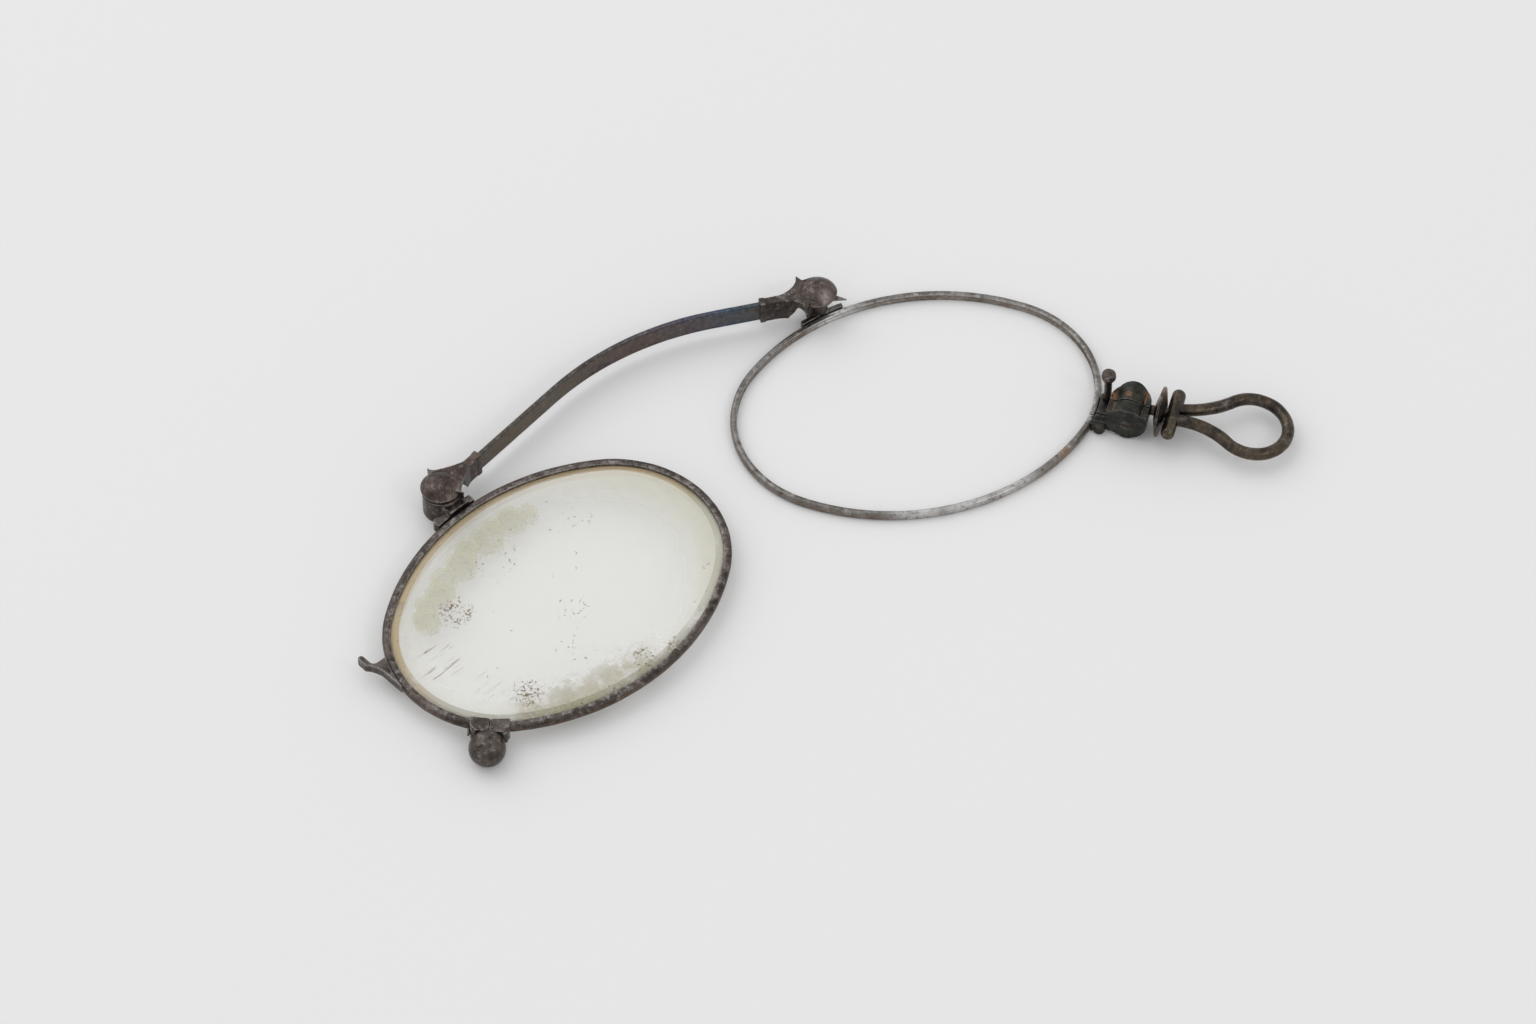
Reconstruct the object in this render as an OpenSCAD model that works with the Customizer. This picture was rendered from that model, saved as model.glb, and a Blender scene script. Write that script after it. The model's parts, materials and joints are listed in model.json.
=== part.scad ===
// Folding steel eyeglasses with a sprung bridge: two oval eyes on hinge pins, a catch that
// hooks the closed eyes together, a round knob on one eye and a cord handle on the other.
// Millimetres, +Z up, lying open on its underside. The origin is under the middle of the
// whole outline, on the surface that it lies on.

/* [Placing] */
// Across position of the point midway between the hinge pins
mid_x = -21.18; // [-30:0.05:-10]
// Away position of the point midway between the hinge pins
mid_y = 15.98; // [5:0.05:25]
// Turn of the line through both hinge pins
bridge_turn = 34.29; // [0:0.01:60]

/* [Bridge ribbon] */
// Distance between the two hinge pins
hinge_span = 47.4; // [44:0.1:52]
// Radius of the bow in the ribbon
bow_radius = 32; // [30:0.5:34]
// Slope of the ribbon's left end to the line through the pins
left_slope = 15.5; // [13:0.25:18]
// Slope of the ribbon's right end to the line through the pins
right_slope = 20; // [18:0.25:22]
// Height of the ribbon
ribbon_height = 2.55; // [2:0.05:2.8]
// Thickness of the ribbon
ribbon_thick = 0.43; // [0.3:0.01:0.6]
// Height of the ribbon's lower edge
ribbon_lift = 1.05; // [0.95:0.05:1.2]
// Length of ribbon held inside each ferrule
ribbon_grip = 2.6; // [2:0.1:2.8]

/* [Ferrules] */
// Distance from the left hinge pin to the end of its collar
left_collar_reach = 5.8; // [5.6:0.05:7]
// Distance from the right hinge pin to the end of its collar
right_collar_reach = 6.3; // [5.9:0.05:7]
// Half width of the neck between collar and hinge
neck_half = 0.45; // [0.4:0.01:0.7]
// How much the collar bead stands out from the neck
bead_rise = 0.06; // [0.04:0.01:0.2]
// Length of the collar bead
bead_length = 0.55; // [0.3:0.05:0.8]
// Metal above and below the ribbon in the collar
collar_wall = 0.14; // [0.1:0.02:0.3]
// Reach of the left horns towards the ribbon
left_horn_reach = 0.75; // [0.5:0.05:2]
// Half width between the left horn tips
left_horn_half = 2.6; // [2.4:0.05:2.9]
// Reach of the right horns towards the ribbon
right_horn_reach = 1.7; // [0.5:0.05:2.2]
// Half width between the right horn tips
right_horn_half = 2.5; // [2.1:0.05:2.9]
// Length of the concave flare behind the left horns
left_flare = 3.3; // [2.8:0.1:3.6]
// Length of the concave flare behind the right horns
right_flare = 2.8; // [2.2:0.1:3.2]
// How full the left flare is, from 0 for a deep hollow to 1 for a straight taper
left_fullness = 0.6; // [0:0.05:0.8]
// How full the right flare is
right_fullness = 0; // [0:0.05:0.6]

/* [Hinges] */
// Radius of the hinge pin shank
shank_radius = 0.55; // [0.4:0.01:0.65]
// Running clearance of the shank in its barrel, on the radius
shank_play = 0.03; // [0.02:0.01:0.06]
// Height of each barrel
barrel_height = 3.0; // [2.9:0.05:3.2]
// Gap between barrel and ferrule
seam_play = 0.06; // [0.04:0.01:0.1]
// Thickness of the ferrule plate over the barrel
plate_thick = 0.5; // [0.4:0.05:0.8]
// Radius of the left barrel
left_barrel_radius = 2.0; // [1.7:0.05:2.1]
// Radius of the right barrel
right_barrel_radius = 1.15; // [1.05:0.05:1.15]
// Radius of the domed pin head
head_radius = 2.15; // [2.05:0.05:2.4]
// Height of the dome over the ferrule plate
head_height = 0.95; // [0.7:0.05:1.2]
// Radius of the peened foot of the pin
peen_radius = 0.82; // [0.75:0.01:0.85]
// Thickness of the peened foot
peen_thick = 0.35; // [0.25:0.05:0.5]
// Height of the peened foot over the surface
peen_lift = 0.15; // [0.1:0.05:0.25]

/* [Left eye] */
// Inside length of the left eyewire
left_length = 38.2; // [37:0.1:40]
// Inside width of the left eyewire
left_width = 28.0; // [27:0.1:29]
// Turn of the left eye's long axis
left_turn = 43.8; // [40:0.1:52]
// Radial width of the left eyewire
left_wire_width = 0.88; // [0.8:0.02:1]
// Height of the left eyewire
left_wire_height = 1.0; // [0.95:0.05:1.15]
// Height of the left eyewire's underside
left_wire_lift = 1.4; // [1.3:0.05:1.5]
// Distance along the long axis from the lens centre to the left pin
left_pin_along = -0.14; // [-1:0.02:1]
// Distance from the left eyewire's outside to the left pin
left_pin_out = 2.85; // [2.7:0.05:3]

/* [Right eye] */
// Inside length of the right eyewire
right_length = 38.6; // [37:0.1:40]
// Inside width of the right eyewire
right_width = 28.7; // [28:0.1:29.4]
// Turn of the right eye's long axis
right_turn = 17.9; // [12:0.1:26]
// Radial width of the right eyewire
right_wire_width = 0.7; // [0.65:0.05:0.9]
// Height of the right eyewire
right_wire_height = 0.95; // [0.9:0.05:1.1]
// Distance along the long axis from the lens centre to the right pin
right_pin_along = -5.97; // [-7:0.02:-4]
// Distance from the right eyewire's outside to the right pin
right_pin_out = 1.18; // [1.16:0.02:1.4]

/* [Both eyes] */
// Radius of the rounded ends of both eyes, inside the wire
end_radius = 11.55; // [11:0.05:12]
// Depth of the lens groove
groove_depth = 0.26; // [0.2:0.02:0.36]
// Width of the lens groove
groove_width = 0.56; // [0.5:0.02:0.6]
// Softened edge of the eyewires
wire_chamfer = 0.22; // [0.1:0.02:0.3]
// Width of the saw cut that lets each eyewire open
saw_cut = 0.1; // [0.05:0.01:0.2]

/* [Lens] */
// Thickness of the lens
lens_thick = 0.9; // [0.8:0.05:1]
// Width of the bevel round the lens
bevel_width = 0.85; // [0.6:0.05:1.2]
// Clearance round the lens in its groove
lens_play = 0.03; // [0.02:0.01:0.06]

/* [Catch] */
// Distance of the hook finger's outer face beyond the end of the left eyewire
hook_out = 0.71; // [0.5:0.01:0.8]
// Thickness of the hook finger
finger_thick = 0.5; // [0.36:0.02:0.56]
// Distance of the finger's tip from the long axis
finger_tip = 7.63; // [7.3:0.01:7.8]
// Distance of the bottom of the hook's pocket from the long axis
pocket_bottom = 5.8; // [5.7:0.02:6]
// Radius of the corner in the hook's pocket
pocket_radius = 0.6; // [0.5:0.05:0.7]
// Height of the hook
hook_height = 0.9; // [0.7:0.05:1]
// How far the stud stands short of the end of the right opening, along the long axis
stud_inset = 0.08; // [-0.2:0.02:0.3]
// Stud place on the right eye, across the long axis
stud_side = -6.06; // [-6.4:0.02:-5.8]
// Radius of the stud stem
stud_radius = 0.42; // [0.38:0.01:0.5]
// Height of the stud to the underside of its button
stud_height = 4.35; // [4:0.05:4.6]
// Radius of the stud button
button_radius = 0.8; // [0.64:0.02:0.86]
// Thickness of the stud button
button_thick = 1.15; // [0.9:0.05:1.3]

/* [Knob] */
// Radius of the ball knob
ball_radius = 1.91; // [1.7:0.01:1.95]
// Distance from the eyewire's outside to the ball's centre
ball_out = 2.35; // [2.2:0.05:2.45]
// Direction of the ball from the end-arc centre of the left eye
ball_angle = 221.2; // [214:0.2:228]
// Half width of the closing block under the ball
left_block_half = 1.45; // [1.3:0.05:1.7]
// Half width of the closing block where it laps over the eyewire
left_saddle_half = 2.0; // [1.8:0.05:2.2]
// Depth of the closing block under the ball
left_block_depth = 0.85; // [0.7:0.05:1.1]
// Radius of the closing screw of the left eye
left_screw_radius = 0.24; // [0.2:0.01:0.26]

/* [Handle] */
// Distance of the handle block beyond the end of the right opening, along the long axis
block_out = 1.43; // [1.2:0.01:1.7]
// Place of the handle block across the long axis
block_side = -8.93; // [-9.1:0.01:-8.8]
// Turn of the handle from the right eye's long axis
handle_turn = -33.4; // [-40:0.1:-28]
// Radius of the round end of the block
block_radius = 2.2; // [2:0.05:2.4]
// Distance from the block's centre to its flat front
block_front = 2.27; // [2.2:0.01:2.5]
// Height of the block
block_height = 3.7; // [3.4:0.05:3.9]
// Height of the block's underside
block_lift = 0.2; // [0.1:0.05:0.4]
// Offset of the closing cut in the block towards its front
block_cut = 0.68; // [0.66:0.01:0.8]
// Radius of the closing screw in the block
right_screw_radius = 0.4; // [0.3:0.02:0.45]
// Radius of that screw's head
right_screw_head = 0.56; // [0.5:0.02:0.7]
// Height of the handle's centre line
handle_height = 2.76; // [2.74:0.02:2.9]
// Radius of the stem through the collar disc
stem_radius = 0.55; // [0.45:0.01:0.6]
// Distance from the block's centre to the collar disc
collar_at = 3.2; // [3:0.05:3.3]
// Radius of the collar disc
disc_radius = 2.7; // [2.5:0.02:2.72]
// Thickness of the collar disc at its hub
disc_thick = 1.14; // [0.9:0.02:1.2]
// Thickness of the collar disc at its rim
disc_edge = 0.24; // [0.15:0.01:0.4]
// Distance from the block's centre to the cross-bar
bar_at = 4.57; // [4.45:0.02:4.8]
// Length of the cross-bar over its round ends
bar_length = 6.65; // [6:0.05:7.4]
// Radius of the cross-bar
bar_radius = 0.75; // [0.65:0.01:0.8]

/* [Cord loop] */
// Turn of the loop from the handle's line
loop_turn = 11.4; // [6:0.1:16]
// Droop of the loop towards the surface
loop_droop = 5.3; // [3:0.1:6]
// Radius of the loop's wire
loop_wire = 0.66; // [0.55:0.01:0.7]
// Radius of the loop's round end, to the middle of the wire
loop_radius = 3.72; // [3.4:0.02:4.2]
// Distance from the cross-bar to the centre of the round end
loop_reach = 8.45; // [8:0.05:9]
// Offset of the round end to the near side
loop_sag = 0.4; // [0:0.05:0.8]
// Half distance between the two wires at the neck
loop_neck = 0.73; // [0.71:0.01:0.8]
// Radius of the far shoulder of the loop
far_shoulder = 10.5; // [7:0.5:11]
// Radius of the near shoulder of the loop
near_shoulder = 7.5; // [4:0.1:8]

/* [Hidden] */
far = 60;
// Pieces of one solid lap over each other by this much, and one stands proud of the other
lap = 0.05;
lap_angle = 0.2;
proud = 0.004;

steel_dark = [0.30, 0.27, 0.25];
steel_brown = [0.38, 0.32, 0.28];
steel_light = [0.55, 0.54, 0.52];
steel_blue = [0.33, 0.34, 0.42];
steel_rust = [0.42, 0.36, 0.28];
glass_clear = [0.85, 0.88, 0.82];

// Levels of the hinge, from the surface up
plate_base = barrel_height + seam_play;
plate_top = plate_base + plate_thick;
horn_base = plate_base - 0.1;
horn_top = plate_top + 0.45;
belly_half = 0.9;

// Straight ends of the ribbon, which meet one arc at a tangent, from the span and the slopes
bow_turn = left_slope + right_slope;
bow_across = hinge_span - bow_radius * (sin(left_slope) + sin(right_slope));
bow_rise = bow_radius * (cos(left_slope) - cos(right_slope));
left_straight = (bow_across * sin(right_slope) + bow_rise * cos(right_slope)) / sin(bow_turn);
right_straight = (bow_across * sin(left_slope) - bow_rise * cos(left_slope)) / sin(bow_turn);

// Oval of four arcs: radius of the long sides, and the half angle of each end arc
function side_radius(a, b, r) = ((a - r) * (a - r) + b * b - r * r) / (2 * (b - r));
function end_half_angle(a, b, r) = atan2(side_radius(a, b, r) - b, a - r);
// Half width of the oval, grown by d, at the distance x along its long axis
function oval_half(a, b, r, d, x) =
    let (s = side_radius(a, b, r)) sqrt((s + d) * (s + d) - x * x) - (s - b);

left_a = left_length / 2;
left_b = left_width / 2;
right_a = right_length / 2;
right_b = right_width / 2;
left_mid = left_wire_lift + left_wire_height / 2;
right_mid = right_wire_height / 2;

// Catch and handle take their places from the ends of the eyes
hook_reach = left_a + left_wire_width + hook_out;
stud_along = right_a - stud_inset;
block_along = right_a + block_out;
lug_along = right_a - 2.05;
left_pin_side = oval_half(left_a, left_b, end_radius, left_wire_width, left_pin_along)
    + left_pin_out;
right_pin_side = oval_half(right_a, right_b, end_radius, right_wire_width, right_pin_along)
    + right_pin_out;

// A frame on the line through the pins, with its start midway between them
module at_bridge() {
    translate([mid_x, mid_y, 0]) rotate([0, 0, bridge_turn]) children();
}

// A frame on one pin, with its first axis along the neck towards the ribbon
module at_left_pin() {
    at_bridge() translate([-hinge_span / 2, 0, 0]) rotate([0, 0, left_slope]) children();
}

module at_right_pin() {
    at_bridge() translate([hinge_span / 2, 0, 0]) rotate([0, 0, 180 - right_slope]) children();
}

// A frame on each lens centre, with its first axis along the eye's long axis
module at_left_eye() {
    at_bridge() translate([-hinge_span / 2, 0, 0]) rotate([0, 0, left_turn - bridge_turn])
        translate([-left_pin_along, -left_pin_side, 0]) children();
}

module at_right_eye() {
    at_bridge() translate([hinge_span / 2, 0, 0]) rotate([0, 0, right_turn - bridge_turn])
        translate([-right_pin_along, -right_pin_side, 0]) children();
}

// Sweeps flat profiles round an oval of four arcs; a profile's x = 0 is the oval itself. The
// first profile goes round the ends and laps over the second one, on the long sides
module sweep_oval(a, b, r) {
    s = side_radius(a, b, r);
    half = end_half_angle(a, b, r);
    for (turn = [0, 180]) rotate([0, 0, turn]) {
        translate([a - r, 0, 0]) rotate([0, 0, -half - lap_angle])
            rotate_extrude(angle = 2 * (half + lap_angle), $fn = 120)
                translate([r, 0]) children(0);
        translate([0, b - s, 0]) rotate([0, 0, half])
            rotate_extrude(angle = 180 - 2 * half, $fn = 240)
                translate([s, 0]) children(1);
    }
}

// The area inside an oval of four arcs, grown by d
module oval_area(a, b, r, d) {
    s = side_radius(a, b, r);
    half = end_half_angle(a, b, r);
    tip_x = a - r + (r + d) * cos(half);
    intersection() {
        translate([0, b - s]) circle(r = s + d, $fn = 240);
        translate([0, s - b]) circle(r = s + d, $fn = 240);
        square([2 * tip_x, far], center = true);
    }
    for (side = [-1, 1]) translate([side * (a - r), 0]) circle(r = r + d, $fn = 120);
}

module oval_block(a, b, r, d, base, top) {
    translate([0, 0, base]) linear_extrude(height = top - base) oval_area(a, b, r, d);
}

// Section of an eyewire with its lens groove on the inside, grown by g
function wire_section(w, h, g) = [
    [-g, -h / 2 + wire_chamfer / 2], [wire_chamfer / 2, -h / 2 - g],
    [w - wire_chamfer, -h / 2 - g], [w + g, -h / 2 + wire_chamfer],
    [w + g, h / 2 - wire_chamfer], [w - wire_chamfer, h / 2 + g],
    [wire_chamfer / 2, h / 2 + g], [-g, h / 2 - wire_chamfer / 2],
    [-g, groove_width / 2 - g], [groove_depth - g, 0], [-g, g - groove_width / 2]
];

module eyewire_sweep(a, b, w, h) {
    sweep_oval(a, b, end_radius) {
        polygon(wire_section(w, h, proud));
        polygon(wire_section(w, h, 0));
    }
}

// Section of the lens bevel, which runs out into the groove; x = 0 is the wire's inside
lens_tip = groove_depth - 2 * lens_play;
lens_edge = 0.6 * groove_width;
function bevel_section(g) = [
    [-bevel_width - 0.4, 0.1 - lens_thick / 2], [-bevel_width, -lens_thick / 2 - g],
    [-lens_play, -lens_edge / 2 - g], [lens_tip + g, 0], [-lens_play, lens_edge / 2 + g],
    [-bevel_width, lens_thick / 2 + g], [-bevel_width - 0.4, lens_thick / 2 - 0.1]
];

// A straight end of the ribbon in its pin's frame, from inside the collar to the arc
module ribbon_end(straight, collar_reach) {
    start = collar_reach - ribbon_grip;
    translate([start, -ribbon_thick / 2, ribbon_lift])
        cube([straight - start + lap, ribbon_thick, ribbon_height]);
}

module bridge_spring() {
    color(steel_blue) {
        at_left_pin() {
            ribbon_end(left_straight, left_collar_reach);
            translate([left_straight, -bow_radius, ribbon_lift + proud]) rotate([0, 0, 90 - bow_turn])
                rotate_extrude(angle = bow_turn, $fn = 360)
                    translate([bow_radius - ribbon_thick / 2 + proud, 0])
                        square([ribbon_thick - 2 * proud, ribbon_height - 2 * proud]);
        }
        at_right_pin() ribbon_end(right_straight, right_collar_reach);
    }
}

// Plan of a ferrule: neck and two pointed horns with a concave flare between them, closed
// towards the pin; full is how much of a straight taper is mixed in
module horn_plan(reach, half, flare, full) {
    n = 14;
    side = [for (i = [0 : n]) let (t = i / n) [
        reach + flare * t,
        neck_half + (half - neck_half) * ((1 - full) * (1 - sin(acos(1 - t))) + 0.75 * full * (1 - t))
    ]];
    root = head_radius - 0.35;
    front = concat([[-0.3, root], [reach - 0.45, root - 0.1], [reach, half]], side);
    back = [for (i = [len(front) - 1 : -1 : 0]) [front[i][0], -front[i][1]]];
    polygon(concat(front, back));
}

// Side of a ferrule: thin over the barrel, deep at the collar; the flare is kept narrow
// below the barrel's top, where the folded eye passes
module ferrule_side(from, low, high, collar_reach) {
    rotate([90, 0, 0]) linear_extrude(height = far, center = true) polygon([
        [-1, horn_base], [collar_reach, horn_base], [collar_reach, high], [from + 1.4, high],
        [1.2, horn_top], [-1, horn_top]
    ]);
    rotate([90, 0, 0]) linear_extrude(height = 2 * belly_half, center = true) polygon([
        [from - 0.3, horn_base + 0.1], [from - 0.3, horn_base], [from + 0.9, low],
        [collar_reach, low], [collar_reach, horn_base + 0.1]
    ]);
}

// The pin's domed head, which the ferrule closes against
module pin_dome() {
    dome = (head_radius * head_radius + head_height * head_height) / (2 * head_height);
    intersection() {
        translate([0, 0, plate_top]) cylinder(r = head_radius, h = head_height + lap, $fn = 72);
        translate([0, 0, plate_top + head_height - dome]) sphere(r = dome, $fn = 96);
    }
}

module ferrule(reach, half, flare, full, barrel_radius, collar_reach) {
    low = ribbon_lift - collar_wall;
    high = ribbon_lift + ribbon_height + collar_wall;
    neck_from = max(barrel_radius + 0.45, 2.4);
    bead_from = collar_reach - bead_length;
    difference() {
        union() {
            translate([0, 0, plate_base]) cylinder(r = head_radius - 0.25, h = plate_thick, $fn = 72);
            intersection() {
                linear_extrude(height = horn_top) horn_plan(reach, half, flare, full);
                ferrule_side(neck_from, low, high, collar_reach);
            }
            translate([reach, -neck_half, horn_base])
                cube([bead_from + lap - reach, 2 * neck_half, high - horn_base]);
            translate([neck_from + 0.9, -neck_half, low])
                cube([bead_from + lap - neck_from - 0.9, 2 * neck_half, high - low]);
            translate([bead_from, -neck_half - bead_rise, low - bead_rise])
                cube([bead_length, 2 * (neck_half + bead_rise), high - low + 2 * bead_rise]);
        }
        translate([0, 0, -1]) cylinder(r = shank_radius, h = far, $fn = 48);
        cylinder(r = max(barrel_radius, head_radius - 0.25) + 0.15, h = plate_base, $fn = 72);
        pin_dome();
        translate([collar_reach - ribbon_grip, -ribbon_thick / 2, ribbon_lift])
            cube([ribbon_grip + 1, ribbon_thick, ribbon_height]);
    }
}

module left_ferrule() {
    color(steel_brown) at_left_pin()
        ferrule(left_horn_reach, left_horn_half, left_flare, left_fullness, left_barrel_radius,
            left_collar_reach);
}

module right_ferrule() {
    color(steel_dark) at_right_pin()
        ferrule(right_horn_reach, right_horn_half, right_flare, right_fullness,
            right_barrel_radius, right_collar_reach);
}

// Pin with a domed head over the ferrule and a peened foot under the barrel
module hinge_pin() {
    translate([0, 0, peen_lift]) cylinder(r = shank_radius, h = plate_top - peen_lift, $fn = 48);
    translate([0, 0, peen_lift]) cylinder(r = peen_radius, h = peen_thick, $fn = 48);
    pin_dome();
}

module left_hinge_pin() {
    color(steel_brown) at_left_pin() hinge_pin();
}

module right_hinge_pin() {
    color(steel_brown) at_right_pin() hinge_pin();
}

// The bore of a barrel and the recess for the pin's peened foot
module barrel_bore() {
    translate([0, 0, -1]) cylinder(r = shank_radius + shank_play, h = barrel_height + 2, $fn = 48);
    translate([0, 0, -1])
        cylinder(r = peen_radius + 0.05, h = 1 + peen_lift + peen_thick + 0.03, $fn = 48);
}

foot_thick = left_pin_out - left_barrel_radius + 0.05;
foot_end = 0.62;
left_foot_before = 2.6;
left_foot_after = 2.0;

module left_barrel() {
    color(steel_dark) at_left_eye() difference() {
        union() {
            translate([left_pin_along, left_pin_side, 0])
                cylinder(r = left_barrel_radius, h = barrel_height, $fn = 72);
            translate([left_pin_along - 1.3, left_b, 0.9])
                cube([2.6, left_pin_side - left_b, 1.9]);
            intersection() {
                oval_block(left_a, left_b, end_radius, left_wire_width + foot_thick,
                    left_wire_lift - 0.2, left_wire_lift + left_wire_height + 0.1);
                translate([left_pin_along - left_foot_before, left_b - 2, 0])
                    cube([left_foot_before + left_foot_after, 6, 5]);
            }
            translate([left_pin_along - left_foot_before, left_pin_side - left_pin_out + 0.3,
                left_wire_lift - 0.2])
                cylinder(r = foot_end, h = left_wire_height + 0.3, $fn = 32);
        }
        oval_block(left_a, left_b, end_radius, left_wire_width, -1, 5);
        translate([left_pin_along, left_pin_side, 0]) barrel_bore();
    }
}

module left_eyewire() {
    color(steel_dark) at_left_eye() difference() {
        translate([0, 0, left_mid])
            eyewire_sweep(left_a, left_b, left_wire_width, left_wire_height);
        at_knob() translate([-3, -saw_cut / 2, -1]) cube([3.5, saw_cut, 6]);
    }
}

module left_lens() {
    color(glass_clear, 0.5) at_left_eye() {
        translate([0, 0, left_mid]) sweep_oval(left_a, left_b, end_radius) {
            polygon(bevel_section(-proud));
            polygon(bevel_section(-2 * proud));
        }
        oval_block(left_a, left_b, end_radius, lap / 2 - bevel_width,
            left_mid - lens_thick / 2, left_mid + lens_thick / 2);
    }
}

// A frame on the eyewire's outside under the ball knob, its first axis pointing outwards
module at_knob() {
    translate([end_radius - left_a, 0, 0]) rotate([0, 0, ball_angle])
        translate([end_radius + left_wire_width, 0, 0]) children();
}

ball_height = ball_radius + 0.04;
left_block_base = 0.9;
left_block_top = 2.95;
left_screw_height = 1.95;

// One half of the closing block of the left eye, which laps over the top of the wire and
// narrows towards the ball; side is 1 or -1
module left_block_half_form(side) {
    wire_top = left_wire_lift + left_wire_height;
    difference() {
        at_knob() union() {
            translate([0, 0, left_block_base]) linear_extrude(height = left_block_top - left_block_base)
                polygon([[-1.2, side * saw_cut / 2], [-1.2, side * left_saddle_half],
                    [0.1, side * left_saddle_half], [left_block_depth, side * left_block_half],
                    [left_block_depth, side * saw_cut / 2]]);
            translate([left_block_depth / 2 + 0.05, side * left_block_half, left_block_base + 0.2])
                cylinder(r = 0.45, h = left_block_top - left_block_base - 0.4, $fn = 32);
        }
        oval_block(left_a, left_b, end_radius, left_wire_width, -1, wire_top);
        oval_block(left_a, left_b, end_radius, 0.15, -1, 6);
        at_knob() translate([left_block_depth / 2, 0, left_screw_height]) rotate([90, 0, 0])
            cylinder(r = left_screw_radius, h = far, center = true, $fn = 32);
    }
}

module left_block_a() {
    color(steel_dark) at_left_eye() left_block_half_form(1);
}

module left_block_b() {
    color(steel_dark) at_left_eye() left_block_half_form(-1);
}

module left_closing_screw() {
    reach = max(left_saddle_half, left_block_half + 0.45) + 0.03;
    color(steel_light) at_left_eye() at_knob()
        translate([left_block_depth / 2, 0, left_screw_height]) rotate([90, 0, 0]) {
            translate([0, 0, -reach]) cylinder(r = left_screw_radius, h = 2 * reach, $fn = 32);
            translate([0, 0, reach]) cylinder(r = 0.4, h = 0.22, $fn = 32);
        }
}

// The ball is cut flat where it sits on the closing block
module ball_knob() {
    color(steel_dark) at_left_eye() at_knob() translate([ball_out, 0, ball_height])
        rotate([0, 90, 0]) rotate_extrude($fn = 96) intersection() {
            circle(r = ball_radius, $fn = 96);
            translate([0, left_block_depth - ball_out]) square([ball_radius, 2 * ball_radius]);
        }
}

// Plan of the hook on the left eyewire, in the eye's own frame: a foot along the wire that
// flares out into a thin finger, with the pocket between finger and wire
hook_foot_x = -left_a - 0.75;
hook_foot_start = 1.3;
flare_start = 4.3;
flare_radius = 3.1;
module hook_plan() {
    inner = finger_thick - hook_reach;
    difference() {
        union() {
            translate([hook_foot_x, hook_foot_start])
                square([2.2, flare_start + 0.6 - hook_foot_start]);
            translate([-hook_reach, flare_start])
                square([3, finger_tip - finger_thick / 2 - flare_start]);
            translate([-hook_reach + finger_thick / 2, finger_tip - finger_thick / 2])
                circle(r = finger_thick / 2, $fn = 32);
        }
        translate([hook_foot_x - flare_radius, flare_start]) circle(r = flare_radius, $fn = 96);
        translate([inner + pocket_radius, pocket_bottom + pocket_radius])
            circle(r = pocket_radius, $fn = 48);
        translate([inner + pocket_radius, pocket_bottom]) square([4, 4]);
        translate([inner, pocket_bottom + pocket_radius]) square([4, 4]);
    }
}

module catch_hook() {
    color(steel_brown) at_left_eye() difference() {
        translate([0, 0, left_mid - hook_height / 2]) linear_extrude(height = hook_height) hook_plan();
        oval_block(left_a, left_b, end_radius, left_wire_width, -1, 6);
    }
}

right_foot_before = 2.2;
right_foot_after = 2.7;
right_foot_top = 1.05;

module right_barrel() {
    color(steel_dark) at_right_eye() difference() {
        union() {
            translate([right_pin_along, right_pin_side, 0])
                cylinder(r = right_barrel_radius, h = barrel_height, $fn = 64);
            intersection() {
                oval_block(right_a, right_b, end_radius, right_wire_width + 0.5, 0, right_foot_top);
                translate([right_pin_along - right_foot_before, right_b - 4, 0])
                    cube([right_foot_before + right_foot_after, 6, 3]);
            }
            translate([right_pin_along, right_pin_side, 2.84]) rotate([0, 0, -27])
                linear_extrude(height = 0.16) polygon([[0, 1.05], [1.6, 0.45], [3.3, 0],
                    [1.6, -0.45], [0, -1.05]]);
        }
        oval_block(right_a, right_b, end_radius, right_wire_width, -1, 2.6);
        translate([right_pin_along, right_pin_side, 0]) barrel_bore();
    }
}

module right_eyewire() {
    color(steel_light) at_right_eye() difference() {
        translate([0, 0, right_mid + proud])
            eyewire_sweep(right_a, right_b, right_wire_width, right_wire_height);
        at_handle() translate([-8, -block_cut - saw_cut / 2, -1]) cube([8, saw_cut, 6]);
    }
}

// A frame on the handle block's centre, its first axis pointing out along the handle
module at_handle() {
    translate([block_along, block_side, 0]) rotate([0, 0, handle_turn]) children();
}

block_top = block_lift + block_height;
front_radius = block_radius - 0.05;
block_offset = 0.2;

// The whole block before it is cut: round behind, flat in front, rounded underneath
module block_form() {
    intersection() {
        union() {
            translate([0, -block_offset, 0])
                cylinder(r = block_radius, h = block_top + 1, $fn = 96);
            translate([-block_radius, -block_front, 0])
                cube([2 * block_radius, block_front - block_offset, block_top + 1]);
        }
        union() {
            translate([0, 0, block_lift + front_radius]) rotate([90, 0, 0])
                cylinder(r = front_radius, h = 8, center = true, $fn = 96);
            translate([-front_radius, -4, block_lift + front_radius])
                cube([2 * front_radius, 8, block_height - front_radius]);
        }
    }
}

screw_height = 2.15;
neck_top = 1.25;

module handle_block_rear() {
    color(steel_rust) at_right_eye() difference() {
        union() {
            at_handle() intersection() {
                block_form();
                translate([-4, -block_cut + saw_cut / 2, -1]) cube([8, 8, 8]);
            }
            at_handle() translate([-5, -block_cut + saw_cut / 2, block_lift])
                cube([3.6, 1.3, neck_top - block_lift]);
            translate([stud_along, stud_side, block_lift])
                cylinder(r = 0.85, h = neck_top - block_lift, $fn = 48);
            at_handle() translate([-4.6, 0, block_lift]) cube([2.9, 1.5, neck_top - block_lift]);
        }
        oval_block(right_a, right_b, end_radius, right_wire_width, -1, 3);
        at_handle() {
            translate([0, -block_cut - 1, screw_height]) rotate([-90, 0, 0])
                cylinder(r = right_screw_radius, h = 2.6, $fn = 40);
        }
        stud_stem();
    }
}

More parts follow.
